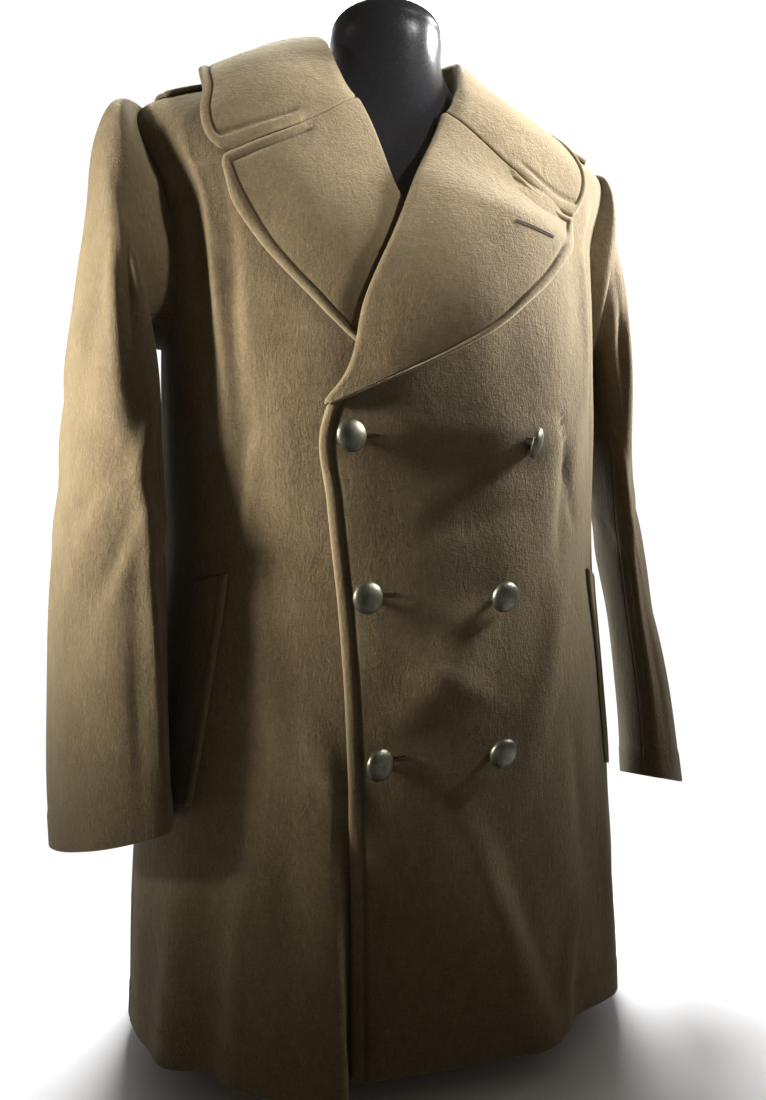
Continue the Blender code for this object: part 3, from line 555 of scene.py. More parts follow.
def over_lift(turn, share):
    """How far the wearer's left front lies off the plain body, to pass over the right front."""
    height = plain_body(turn, share)[..., 2]
    over_right = smooth_step((math.radians(50) - turn) / math.radians(24))
    over_right = over_right * smooth_step((0.785 - height) / 0.06)
    over_lapel = smooth_step((height - 0.49) / 0.04)
    return over_right * (LAYER + (DOUBLE_WALL + 0.0028) * over_lapel)


def armhole_point(around, out, side="left"):
    """A point over the armhole's edge. around is 0 at the shoulder tip, and grows forwards."""
    share = ARMHOLE_MIDDLE + ARMHOLE_HALF * np.cos(around)
    forwards = np.sin(around)
    front = ARMHOLE_FRONT_TURN * armhole_trim(np.cos(around), side)
    widest = np.where(forwards > 0, front, ARMHOLE_BACK_TURN) - ARMHOLE_CLEAR
    return body("armhole", SIDE - widest * forwards, share, out)


def sleeve_point(side, around, share, out=0.0):
    """A point of one sleeve, on the wearer's left, moved out by a distance from its middle."""
    around, share = np.broadcast_arrays(np.asarray(around, float), np.asarray(share, float))
    lean = np.radians(column(SLEEVE_RINGS, "lean", share))
    turn_in = np.radians(column(SLEEVE_RINGS, "turn_in", share))
    across = column(SLEEVE_RINGS, "half_across", share)
    depth = column(SLEEVE_RINGS, "half_depth", share)
    if side == "left":
        across = across * column(LEFT_SLIM, "slim", share)
        depth = depth * column(LEFT_SLIM, "depth", share)
        turn_in = turn_in + np.radians(column(LEFT_SLIM, "more_turn", share))
    push = np.zeros(around.shape)
    for fold in SLEEVE_FOLDS:
        away = (around - math.radians(fold.turn) + math.pi) % (2 * math.pi) - math.pi
        bell = (away / math.radians(fold.wide)) ** 2 + ((share - fold.share) / fold.tall) ** 2
        push = push + fold.depth * np.exp(-bell)
    push = push + crease_push(SLEEVE_CREASES, around, share, SLEEVE_RADIUS, -SLEEVE_LENGTH)
    push = push * (0.8 if side == "left" else 1.0)
    push = push + unevenness(around * 3 + (1.3 if side == "left" else 0), share * 17) * 0.0010
    if side == "left":
        swing_out = column(SLEEVE_RINGS, "left_out", share)
        swing_back = column(SLEEVE_RINGS, "left_back", share)
    else:
        middle = smooth_step((share - 0.08) / 0.22) * (1 - smooth_step((share - 0.60) / 0.35))
        swing_out, swing_back = -RIGHT_INWARDS * middle, 0.0
    squareness = SLEEVE_SQUARE_TOP + (SLEEVE_SQUARE_CUFF - SLEEVE_SQUARE_TOP) * share
    outwards = (across + push + out) * rounded(np.cos(around), squareness)
    forwards = (depth + push + out) * rounded(np.sin(around), squareness)
    flat_x = outwards * np.cos(lean)
    x = column(SLEEVE_RINGS, "x", share) + swing_out
    x = x + flat_x * np.cos(turn_in) - forwards * np.sin(turn_in)
    y = column(SLEEVE_RINGS, "y", share) + swing_back
    y = y - flat_x * np.sin(turn_in) - forwards * np.cos(turn_in)
    z = column(SLEEVE_RINGS, "z", share) + outwards * np.sin(lean)
    z = z + CUFF_RISE * forwards * smooth_step((share - 0.5) / 0.5)
    own = np.stack([x, y, z], axis=-1)
    weight = smooth_step(column(SLEEVE_RINGS, "own", share))[..., None]
    rise = -WALL / 2 + HEAD_RISE * smooth_step(share / 0.05) + out
    return own * weight + armhole_point(around, rise, side) * (1 - weight)


def collar_point(side, share, across):
    """A middle point of the collar: across is -1 at its foot, 0 at the fold and 1 at the edge."""
    share, across = np.broadcast_arrays(np.asarray(share, float), np.asarray(across, float))
    fall = np.maximum(across, 0)
    stand = np.maximum(-across, 0)
    near_end = smooth_step((share - 0.6) / 0.4)
    fold_turn, edge = column(COLLAR, "fold_turn", share), column(COLLAR, "edge_turn", share)
    turn = np.radians(fold_turn + (edge - fold_turn) * fall ** (1 + 0.3 * near_end))
    ring = column(COLLAR, "fold_share", share)
    ring = ring + (column(COLLAR, "edge_share", share) - ring) * fall
    ring = ring - GORGE_DIP * near_end * np.sin(math.pi * fall**0.5)
    ends = smooth_step((share - 0.72) / 0.28)
    shorter, turned = COLLAR_TRIM[side]
    ring = ring + shorter * np.exp(-(((share - 0.70) / 0.17) ** 2)) * fall
    turn = turn - np.radians(turned) * np.exp(-(((share - 0.89) / 0.09) ** 2)) * fall
    dip, drop, flat = COLLAR_SET[side]
    ring = ring - ends * (dip * np.sin(math.pi * fall**0.75) + drop * fall)
    low = smooth_step((share - 0.35) / 0.35) * flat
    off = COLLAR_LIFT + column(COLLAR, "edge_off", share) * fall**1.5 * (1 - low)
    off = off + column(COLLAR, "crown", share) * np.sin(math.pi * fall) * (1 - low)
    off = off * (1 - stand) + stand * COLLAR_FOOT_LIFT
    point = body("collar", turn, ring, off)
    over = np.where(stand > 0, 1 - stand**1.4, (1 - fall**1.25) ** 1.25)
    rise = column(COLLAR, "fold_up", share) * over
    point[..., 2] += rise
    shift = NECK_SHIFT * near_end
    point[..., 0] = point[..., 0] - shift if side == "left" else -point[..., 0] - shift
    return point


def form_point(turn, share):
    """A point of the form's torso, under the coat."""
    inset = column(FORM_INSETS, "inset", share)
    around = plain_body(turn + SMALL_STEP, share) - plain_body(turn - SMALL_STEP, share)
    upwards = plain_body(turn, share + SMALL_STEP) - plain_body(turn, share - SMALL_STEP)
    normal = np.cross(around, upwards)
    normal /= np.linalg.norm(normal, axis=-1, keepdims=True)
    return plain_body(turn, share) - normal * inset[..., None]


def cumulative(points, axis):
    """Distance run along the rows (axis 1) or columns (axis 0) of a grid of points."""
    steps = np.linalg.norm(np.diff(points, axis=axis), axis=-1)
    runs = np.cumsum(steps, axis=axis)
    pad = [(0, 0), (0, 0)]
    pad[axis] = (1, 0)
    return np.pad(runs, pad)


def places(length, step, start=(), end=()):
    """Places from 0 to 1 along a length in metres: close ones near its ends, even between."""
    first = max(start, default=0)
    last = length - max(end, default=0)
    count = max(1, round((last - first) / step))
    middle = np.linspace(first, last, count + 1)
    every = np.concatenate([[0, length], start, [length - e for e in end], middle])
    return np.unique(np.round(every, 6)) / length


# Distances from an edge at which a grid has a line of points: a plain rim, and a stitched one
RIM = (0.0004, 0.0011, 0.0021)
TOPSTITCHED = RIM + (0.004, 0.006, 0.008, 0.0093, 0.0101, 0.0109, 0.0117, 0.0125, 0.0137, 0.016)
# Half the width of the groove that the topstitching draws in
GROOVE_HALF = 0.0018
# A distance at which an edge has no effect on the cloth
FAR = 1.0


def edge_distance(middle, edges):
    """How far each point of a grid lies from the nearest of the named edges."""
    rows, columns = cumulative(middle, 0), cumulative(middle, 1)
    ways = {
        "start": columns, "end": columns[:, -1:] - columns,
        "bottom": rows, "top": rows[-1:] - rows,
    }
    nearest = np.full(middle.shape[:2], FAR)
    for edge in edges:
        nearest = np.minimum(nearest, ways[edge])
    return nearest


def stitched_relief(distance, sizes):
    """The puffed rim of a stitched edge and the groove that its topstitching draws in."""
    rim = np.exp(-(((distance - sizes.stitch_in * 0.45) / (sizes.stitch_in * 0.42)) ** 2))
    groove = np.exp(-(((distance - sizes.stitch_in) / GROOVE_HALF) ** 2))
    return sizes.puff * rim - sizes.groove * groove


def shell(node, middle, thickness, distance=None, relief=0.0, flip=False):
    """A closed cloth piece about a fine grid, with rounded rims, that stands for one node.

    distance is how far each point lies from a stitched edge, and relief raises the face.
    """
    sizes = bpy.context.scene.coat_sizes
    normal = np.cross(np.gradient(middle, axis=0), np.gradient(middle, axis=1))
    normal /= np.maximum(np.linalg.norm(normal, axis=-1, keepdims=True), 1e-12)
    if flip:
        normal = -normal
    border = edge_distance(middle, ("start", "end", "bottom", "top"))
    if distance is None:
        distance = np.full(border.shape, FAR)
    inwards = np.clip(border / (thickness * 0.62), 0, 1)
    half = thickness / 2 * (0.18 + 0.82 * np.sqrt(1 - (1 - inwards) ** 2))
    bulge = relief + stitched_relief(distance, sizes) * np.clip(border / 0.0012, 0, 1)
    outer = middle + normal * (half + bulge)[..., None]
    inner = middle - normal * half[..., None]
    rows, columns = middle.shape[:2]
    number = np.arange(rows * columns).reshape(rows, columns)
    a, b, c, d = number[:-1, :-1], number[:-1, 1:], number[1:, 1:], number[1:, :-1]
    front = np.stack([a, b, c, d], axis=-1).reshape(-1, 4)
    back = front[:, ::-1] + rows * columns
    rim = np.concatenate([number[0, :-1], number[:-1, -1], number[-1, :0:-1], number[:0:-1, 0]])
    after = np.roll(rim, -1)
    side = np.stack([rim, rim + rows * columns, after + rows * columns, after], axis=-1)
    faces = np.concatenate([front, back, side])
    if not flip:
        faces = faces[:, ::-1]
    points = np.concatenate([outer.reshape(-1, 3), inner.reshape(-1, 3)])
    made = new_piece(f"{node}_cloth", points, faces.tolist(), finish(WOOL))
    along, across = cumulative(middle, 0), cumulative(middle, 1)
    worn = np.exp(-distance / 0.0035) + 0.25 * np.exp(-border / 0.0015)
    # painted shade: the cloth's colour is darkened along the topstitching groove
    dent = np.exp(-(((distance - sizes.stitch_in) / 0.0022) ** 2))
    flat = np.zeros(border.size)
    store(made, "worn", np.concatenate([worn.ravel(), flat]))
    store(made, "dent", np.concatenate([dent.ravel(), flat]))
    cover(made, np.stack([across, along], axis=-1).reshape(-1, 2))
    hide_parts(node)
    return made


def store(made, name, values):
    """Keeps one number for each point, for the cloth's finish to read."""
    layer = made.data.attributes.new(name, "FLOAT", "POINT")
    layer.data.foreach_set("value", np.asarray(values, np.float32))


def cover(made, flat):
    """Lays the piece's own flat shape out as its UV map, in metres."""
    flat = np.concatenate([flat, flat])
    loops = np.empty(len(made.data.loops), np.int32)
    made.data.loops.foreach_get("vertex_index", loops)
    layer = made.data.uv_layers.new(name="UVMap")
    layer.data.foreach_set("uv", flat[loops].astype(np.float32).ravel())


def new_piece(name, points, faces, material, sharp=None):
    """A smooth-shaded piece that rides with the coat."""
    mesh = bpy.data.meshes.new(name)
    mesh.from_pydata(np.asarray(points, float).tolist(), [], faces)
    mesh.validate()
    mesh.shade_smooth()
    if sharp:
        mesh.set_sharp_from_angle(angle=math.radians(sharp))
    mesh.materials.append(material)
    made = bpy.data.objects.new(name, mesh)
    bpy.context.scene.collection.objects.link(made)
    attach(made, "root")
    return made


def rounded_corner(a, b, radius):
    """Distances from two edges of a square corner, moved so that the corner is round."""
    p, q = np.clip(radius - a, 0, None), np.clip(radius - b, 0, None)
    level = np.maximum(p, q)
    length = np.maximum(np.hypot(p, q), 1e-9)
    blend = np.where((p > 0) & (q > 0), level / length, 1.0)
    return a + p * (1 - blend), b + q * (1 - blend)


# Finishes


def mix_colour(tree, factor, first, second):
    """A blend of two colours, each a plain one or another node's."""
    node = tree.nodes.new("ShaderNodeMix")
    node.data_type = "RGBA"
    for place, value in ((0, factor), (6, first), (7, second)):
        socket = node.inputs[place]
        if isinstance(value, bpy.types.NodeSocket):
            tree.links.new(value, socket)
        elif isinstance(value, (int, float)):
            socket.default_value = value
        else:
            socket.default_value = (*value, 1) if len(value) == 3 else value
    return node.outputs[2]


def spread(tree, value, low, high, to_low=0.0, to_high=1.0):
    """A value stretched from one range to another, and held at its ends."""
    node = tree.nodes.new("ShaderNodeMapRange")
    tree.links.new(value, node.inputs["Value"])
    node.inputs["From Min"].default_value = low
    node.inputs["From Max"].default_value = high
    node.inputs["To Min"].default_value = to_low
    node.inputs["To Max"].default_value = to_high
    return node.outputs["Result"]


def cloudiness(tree, where, scale, detail, roughness=0.55, distortion=0.0, stretch=None):
    """Soft noise over the piece, drawn out along its axes by stretch."""
    node = tree.nodes.new("ShaderNodeTexNoise")
    node.inputs["Scale"].default_value = scale
    node.inputs["Detail"].default_value = detail
    node.inputs["Roughness"].default_value = roughness
    node.inputs["Distortion"].default_value = distortion
    if stretch:
        mapping = tree.nodes.new("ShaderNodeMapping")
        mapping.inputs["Scale"].default_value = stretch
        tree.links.new(where, mapping.inputs["Vector"])
        where = mapping.outputs["Vector"]
    tree.links.new(where, node.inputs["Vector"])
    return node.outputs["Fac"]


def raised(tree, height, distance, strength, normal=None):
    """A fine relief, laid over another where one is given."""
    node = tree.nodes.new("ShaderNodeBump")
    node.inputs["Strength"].default_value = strength
    node.inputs["Distance"].default_value = distance
    tree.links.new(height, node.inputs["Height"])
    if normal is not None:
        tree.links.new(normal, node.inputs["Normal"])
    return node.outputs["Normal"]


def attribute(tree, name):
    """A number that the piece keeps for each point."""
    node = tree.nodes.new("ShaderNodeAttribute")
    node.attribute_name = name
    return node.outputs["Fac"]


def object_place(tree):
    """The place on the piece itself, in metres."""
    return tree.nodes.new("ShaderNodeTexCoord").outputs["Object"]


def new_finish(name):
    """An empty finish, with its nodes and its shader."""
    material = bpy.data.materials.new(name)
    material.use_nodes = True
    return material, material.node_tree, material.node_tree.nodes["Principled BSDF"]


def felted_wool(name):
    """Milled olive wool: clouded colour, fine crossed fibres, a soft nap, and painted shade along
    the topstitching grooves.
    """
    colours = bpy.context.scene.coat_colours
    material, tree, shader = new_finish(name)
    where = object_place(tree)
    clouds = cloudiness(tree, where, 13, 4, 0.6, 0.5)
    mottle = cloudiness(tree, where, 70, 4, 0.6, 0.8, (1.0, 1.0, 0.6))
    fibre_one = cloudiness(tree, where, 300, 4, 0.65, 1.6, (1.0, 1.0, 0.30))
    fibre_two = cloudiness(tree, where, 340, 4, 0.65, 1.8, (0.32, 0.8, 1.0))
    flecks = cloudiness(tree, where, 900, 2, 0.5)
    dark, light = colours.wool_dark, colours.wool_light
    colour = colours.wool_middle
    for value, low, high, most, other in (
        (clouds, 0.30, 0.75, 0.22, light),
        (mottle, 0.38, 0.72, 0.30, dark),
        (fibre_one, 0.48, 0.72, 0.34, light),
        (fibre_two, 0.46, 0.70, 0.40, dark),
        (flecks, 0.66, 0.80, 0.25, colours.wool_fleck),
        (attribute(tree, "worn"), 0.15, 1.0, 0.42, light),
        # painted shade: darker wool along the topstitching groove
        (attribute(tree, "dent"), 0.2, 1.0, 0.60, dark),
    ):
        colour = mix_colour(tree, spread(tree, value, low, high, 0.0, most), colour, other)
    tree.links.new(colour, shader.inputs["Base Color"])
    normal = raised(tree, mottle, 0.0016, 0.55)
    normal = raised(tree, fibre_one, 0.0010, 0.70, normal)
    normal = raised(tree, fibre_two, 0.0010, 0.70, normal)
    tree.links.new(normal, shader.inputs["Normal"])
    shader.inputs["Roughness"].default_value = 0.93
    shader.inputs["Specular IOR Level"].default_value = 0.18
    shader.inputs["Sheen Weight"].default_value = 0.32
    shader.inputs["Sheen Roughness"].default_value = 0.42
    shader.inputs["Sheen Tint"].default_value = (0.92, 0.84, 0.62, 1)
    return material


def gloss_black(name):
    """Black gloss lacquer with a faint ripple and fine dust."""
    material, tree, shader = new_finish(name)
    colours = bpy.context.scene.coat_colours
    where = object_place(tree)
    ripple = cloudiness(tree, where, 22, 2)
    dust = cloudiness(tree, where, 900, 3, 0.6)
    grey = tuple(c + 0.03 for c in colours.form_black)
    colour = mix_colour(tree, spread(tree, dust, 0.60, 0.80, 0.0, 0.5), colours.form_black, grey)
    tree.links.new(colour, shader.inputs["Base Color"])
    tree.links.new(spread(tree, dust, 0.35, 0.75, 0.17, 0.30), shader.inputs["Roughness"])
    tree.links.new(raised(tree, ripple, 0.0012, 0.30), shader.inputs["Normal"])
    shader.inputs["Coat Weight"].default_value = 0.35
    shader.inputs["Coat Roughness"].default_value = 0.09
    return material


def bronzed_metal(name):
    """Dull grey-green bronzed metal, clouded paler and darker, with fine dark pits."""
    material, tree, shader = new_finish(name)
    colours = bpy.context.scene.coat_colours
    where = object_place(tree)
    patina = cloudiness(tree, where, 130, 5, 0.65, 0.5)
    pits = cloudiness(tree, where, 1400, 3, 0.6)
    dark = tuple(c * 0.45 for c in colours.metal)
    colour = mix_colour(tree, spread(tree, patina, 0.35, 0.70), dark, colours.metal)
    colour = mix_colour(tree, spread(tree, pits, 0.62, 0.75, 0.0, 0.6), colour, dark)
    tree.links.new(colour, shader.inputs["Base Color"])
    tree.links.new(spread(tree, patina, 0.3, 0.75, 0.50, 0.30), shader.inputs["Roughness"])
    tree.links.new(raised(tree, pits, 0.0003, 0.5), shader.inputs["Normal"])
    shader.inputs["Metallic"].default_value = 0.85
    return material


def twisted_thread(name):
    """Dark olive buttonhole thread, ribbed along its length."""
    material, tree, shader = new_finish(name)
    colours = bpy.context.scene.coat_colours
    where = object_place(tree)
    twist = cloudiness(tree, where, 900, 2, 0.5, 0.4, (1.0, 1.0, 0.5))
    dark = tuple(c * 0.35 for c in colours.wool_dark)
    tree.links.new(mix_colour(tree, spread(tree, twist, 0.35, 0.7), dark, colours.wool_dark),
                   shader.inputs["Base Color"])
    tree.links.new(raised(tree, twist, 0.0004, 0.8), shader.inputs["Normal"])
    shader.inputs["Roughness"].default_value = 0.8
    return material


WOOL = "felted_olive_wool"
LACQUER = "gloss_black_lacquer"
METAL = "bronzed_button_metal"
THREAD = "olive_thread"
MAKERS = {WOOL: felted_wool, LACQUER: gloss_black, METAL: bronzed_metal, THREAD: twisted_thread}


def finish(name):
    """One of the coat's finishes, made the first time that it is asked for."""
    if name not in bpy.data.materials:
        MAKERS[name](name)
    return bpy.data.materials[name]


# Pieces


def body_shares(sizes):
    """Shares of a body panel's rows: close at the hem, and even along the armhole's arc."""
    low = places(0.565, sizes.grid, RIM + (0.004, 0.007, 0.0095, 0.0125), ()) * ARMPIT
    arc = np.linspace(math.pi, 0, round(0.34 / sizes.grid) // 2)
    beside = ARMHOLE_MIDDLE + ARMHOLE_HALF * np.cos(arc)
    above = SHOULDER_TIP + (1 - SHOULDER_TIP) * places(0.10, sizes.grid, (), RIM)
    return np.concatenate([low, beside[1:], above[1:]])


def front_panel(side):
    """One front, from its stitched edge to the side seam and armhole."""
    sizes = bpy.context.scene.coat_sizes
    left = side == "left"
    shares = body_shares(sizes)[:, None]
    start = -edge_turn(OVER_EDGE if left else UNDER_EDGE, shares)
    end = SIDE - armhole_turn(shares, ARMHOLE_FRONT_TURN, side)
    beyond = places(0.32, sizes.grid, TOPSTITCHED, RIM)[None, :]
    turn = start + (SIDE - start) * beyond - (SIDE - end) * beyond**1.7
    share = np.broadcast_to(shares, turn.shape)
    lift = over_lift(turn, share) if left else np.zeros(turn.shape)
    middle = body(side, turn if left else -turn, share, lift - WALL / 2)
    height = middle[..., 2]
    roll = smooth_step((height - 0.552) / 0.02)[:, :1] * 0.0022
    fade = np.clip(1 - beyond * 12, 0, 1)
    run = middle[:, 1:2] - middle[:, :1]
    run /= np.linalg.norm(run, axis=-1, keepdims=True)
    middle = middle + run * (roll * fade)[..., None]
    distance = edge_distance(middle, ("start",))
    distance = distance + smooth_step((height - 0.545) / 0.02) * 0.05
    made = shell(f"front_{side}", middle, WALL, distance, hem_relief(middle), left)


def hem_relief(middle):
    """The turned-up hem's slightly fuller band and the line of its stitching."""
    rise = cumulative(middle, 0)
    band = 0.0007 * (1 - smooth_step((rise - 0.026) / 0.006))
    return band - 0.0006 * np.exp(-(((rise - 0.029) / 0.0016) ** 2))


def back_panel(side):
    """One half of the back, from the side seam to the centre seam."""
    sizes = bpy.context.scene.coat_sizes
    sign = 1 if side == "left" else -1
    shares = body_shares(sizes)[:, None]
    start = SIDE + armhole_turn(shares, ARMHOLE_BACK_TURN)
    across = places(0.30, sizes.grid, RIM, RIM)[None, :]
    turn = SIDE + (math.pi - SIDE) * across + (start - SIDE) * (1 - across) ** 1.7
    turn = np.minimum(turn, math.pi)
    share = np.broadcast_to(shares, turn.shape)
    middle = body("back", turn * sign, share, -WALL / 2)
    made = shell(f"back_{side}", middle, WALL, None, hem_relief(middle), sign > 0)


def sleeve_piece(side, piece, start, end):
    """The top or under part of one sleeve, between two seams that twist at its head."""
    sizes = bpy.context.scene.coat_sizes
    sign = 1 if side == "left" else -1
    rows = places(0.66, sizes.grid, RIM, RIM + (0.004, 0.007))[:, None] ** 1.12
    width = 0.30 if piece == "sleeve_top" else 0.15
    under = math.radians(26) * (1 - smooth_step(rows / 0.34))
    start = start + (under if piece == "sleeve_under" else 0)
    end = end + (0 if piece == "sleeve_under" else under)
    around = start + (end - start) * places(width, sizes.grid, RIM, RIM)[None, :]
    middle = sleeve_point(side, around, rows)
    middle[..., 0] *= sign
    cuff = hem_relief(middle[::-1])[::-1]
    made = shell(f"{piece}_{side}", middle, WALL, None, cuff, sign > 0)


def collar_piece():
    """The whole collar: its stand and its fall, with a stitched edge and ends."""
    sizes = bpy.context.scene.coat_sizes
    half = places(0.30, sizes.grid, (), TOPSTITCHED)
    around = np.concatenate([-half[::-1], half[1:]])[:, None]
    fall = places(0.125, sizes.grid, (), TOPSTITCHED)
    stand = -places(0.045, sizes.grid, (), RIM)[::-1]
    across = np.concatenate([stand, fall[1:]])[None, :]
    share, over = np.broadcast_arrays(np.abs(around), across)
    from_end, from_edge = (1 - share) * COLLAR_RUN, (1 - np.maximum(over, 0)) * COLLAR_DEEP
    corner = np.where(around < 0, sizes.collar_round, sizes.collar_round * 0.4)
    moved_end, moved_edge = rounded_corner(from_end, from_edge, corner)
    share = np.where(over > 0, 1 - moved_end / COLLAR_RUN, share)
    over = np.where(over > 0, 1 - moved_edge / COLLAR_DEEP, over)
    left, right = collar_point("left", share, over), collar_point("right", share, over)
    middle = np.where(around[..., None] < 0, right, left)
    middle[len(half) - 1, :, 0] = 0
    open_end = smooth_step((np.broadcast_to(across, share.shape) - NOTCH_AT) / 0.05)
    distance = np.minimum(from_edge, from_end + (1 - open_end) * 0.05)
    distance = distance + (1 - smooth_step(over * 6)) * 0.05
    made = shell("collar", middle, DOUBLE_WALL, distance)


def lapel_point(side, share, over, out=0.0, lip=0.0):
    """A middle point of a lapel: share runs up it, and over from its roll to its edge."""
    left = side == "left"
    table, edge = (LEFT_LAPEL, OVER_EDGE) if left else (RIGHT_LAPEL, UNDER_EDGE)
    sign = 1 if left else -1
    share, over, lip = np.broadcast_arrays(np.asarray(share, float), over, lip)
    roll = bpy.context.scene.coat_sizes.roll
    roll_z = column(table, "roll_z", share)
    roll_x = -past_centre(edge, roll_z)
    wrap = lip * math.radians(100)
    x = roll_x + (column(table, "edge_x", share) - roll_x) * over - roll * np.sin(wrap)
    z = roll_z + (column(table, "edge_z", share) - roll_z) * over
    turn, ring = ring_at(x, z)
    stand = column(table, "stand_off", share) * over**1.5
    crown = LAPEL_CROWN * np.sin(math.pi * over) * smooth_step(share * 2.5)
    base = over_lift(turn, ring)
    if not left:
        covered = smooth_step((past_centre(OVER_EDGE, z) - x + 0.024) / 0.024)
        base, stand, crown = base * 0, stand * (1 - covered), crown * (1 - covered)
    off = base + LAPEL_CLEAR + DOUBLE_WALL / 2 + stand + crown + out
    off = off - roll * 1.3 * (1 - np.cos(wrap))
    middle = body(side, turn * sign, ring, off)
    top = collar_point(side, np.ones(x.shape), over)
    onwards = 0
    for across, weight in ((0.10, 1 - over), (0.95, over)):
        run = collar_point(side, 1.0, across) - collar_point(side, 0.90, across)
        onwards = onwards + run / np.linalg.norm(run) * weight[..., None]
    onwards /= np.linalg.norm(onwards, axis=-1, keepdims=True)
    open_notch = smooth_step((over - 0.25) / 0.3)
    top = top + onwards * (4 * SEAM + NOTCH_GAP * open_notch)[..., None]
    top[..., 0] -= sign * roll * np.sin(wrap)
    top[..., 1] += roll * 1.3 * (1 - np.cos(wrap)) - out
    top = top + onwards * ((1 - share) * LAPEL_RUN * 0.8)[..., None]
    weight = smooth_step((share - 0.74) / 0.26)[..., None]
    return middle * (1 - weight) + top * weight


def lapel_piece(side):
    """One lapel, rolled over at its fold, with a stitched top and outer edge."""
    sizes = bpy.context.scene.coat_sizes
    share = places(0.30, sizes.grid, RIM, TOPSTITCHED)[:, None]
    wide = places(0.15, sizes.grid, (), TOPSTITCHED)
    across = np.concatenate([[-1.0, -0.75, -0.5, -0.25], wide])[None, :]
    share, across = np.broadcast_arrays(share, across)
    over, lip = np.maximum(across, 0), np.maximum(-across, 0)
    from_top, from_edge = (1 - share) * LAPEL_RUN, (1 - over) * LAPEL_DEEP
    open_top = smooth_step((over - NOTCH_AT) / 0.05)
    distance = np.minimum(from_edge, from_top + (1 - open_top) * 0.05)
    corner = sizes.lapel_round if side == "right" else sizes.lapel_round * 0.5
    moved_top, moved_edge = rounded_corner(from_top, from_edge, corner)
    share = np.where(over > 0, 1 - moved_top / LAPEL_RUN, share)
    over = np.where(over > 0, 1 - moved_edge / LAPEL_DEEP, over)
    middle = lapel_point(side, share, over, 0.0, lip)
    made = shell(f"lapel_{side}", middle, DOUBLE_WALL, distance, flip=side == "left")


def shoulder_strap(side):
    """One shoulder strap, stitched at its ends."""
    sizes = bpy.context.scene.coat_sizes
    sign = 1 if side == "left" else -1
    share = STRAP_START + (STRAP_END - STRAP_START) * places(0.09, 0.0035, RIM, RIM)[:, None]
    spread_out = places(2 * STRAP_HALF, 0.0022, RIM, RIM)[None, :] * 2 - 1
    half = STRAP_HALF * (1 - 0.25 * smooth_step((share - STRAP_START) / 0.08))
    depth = column(BODY_RINGS, "front", share)
    power = column(BODY_RINGS, "squareness", share) / 2
    offset = np.abs(spread_out * half / depth) ** power
    turn = SIDE + np.sign(spread_out) * np.arcsin(np.clip(offset, 0, 1))
    share = np.broadcast_to(share, turn.shape)
    middle = body("armhole", turn * sign, share, SEAM + STRAP_THICK / 2 + 0.0004)
    distance = edge_distance(middle, ("start", "end")) * sizes.stitch_in / 0.005
    made = shell(f"shoulder_strap_{side}", middle, STRAP_THICK, distance, flip=sign > 0)


def pocket_welt(side):
    """The slanted welt of one hip pocket."""
    sizes = bpy.context.scene.coat_sizes
    sign = 1 if side == "left" else -1
    down = places(0.19, 0.0035, RIM, RIM)[:, None]
    spread_out = places(2 * WELT_HALF, 0.0022, RIM, RIM)[None, :] * 2 - 1
    height = WELT_TOP + (WELT_FOOT - WELT_TOP) * down + 0.004 * spread_out
    lean = WELT_TOP_TURN + (WELT_FOOT_TURN - WELT_TOP_TURN) * down
    shares = np.linspace(0, 1, 401)
    share = np.interp(height, column(BODY_RINGS, "front_z", shares), shares)
    turn = lean - spread_out * WELT_HALF / column(BODY_RINGS, "half_width", share)
    middle = body(side, turn * sign, share, WELT_CLEAR + WELT_THICK / 2)
    distance = edge_distance(middle, ("end",)) * sizes.stitch_in / 0.008
    made = shell(f"pocket_welt_{side}", middle, WELT_THICK, distance, flip=sign > 0)


def turned_round(profile, sides):
    """Points and faces of a profile of radius and height turned about an axis."""
    angles = np.linspace(0, 2 * math.pi, sides, endpoint=False)
    rings = [(r * np.cos(angles), r * np.sin(angles), np.full(sides, h)) for r, h in profile]
    points = np.concatenate([np.stack(ring, axis=-1) for ring in rings])
    faces = [tuple(range(sides))[::-1]]
    for ring in range(len(profile) - 1):
        for k in range(sides):
            after = (k + 1) % sides
            low, high = ring * sides, (ring + 1) * sides
            faces.append((low + k, low + after, high + after, high + k))
    faces.append(tuple((len(profile) - 1) * sides + k for k in range(sides)))
    return points, faces


def button_frame(place):
    """Where a button sits: its seat, the ways out, sideways and up, and how far it lifts."""
    turn, share = ring_at(place.x, place.z)
    lift = float(over_lift(turn, share))
    seat = body("left", turn, share, lift)
    out = body("left", turn, share, lift + 1) - seat
    droop = math.radians(place.droop)
    out = out * math.cos(droop) - np.array([0, 0, 1.0]) * math.sin(droop)
    out /= np.linalg.norm(out)
    sideways = np.cross([0, 0, 1.0], out)
    sideways /= np.linalg.norm(sideways)
    aside = math.radians(place.aside)
    out = out * math.cos(aside) + sideways * math.sin(aside)
    sideways = np.cross([0, 0, 1.0], out)
    sideways /= np.linalg.norm(sideways)
    lifted = SEAM + BUTTON_LIFT * abs(math.sin(aside))
    return seat, out, sideways, np.cross(out, sideways), lifted


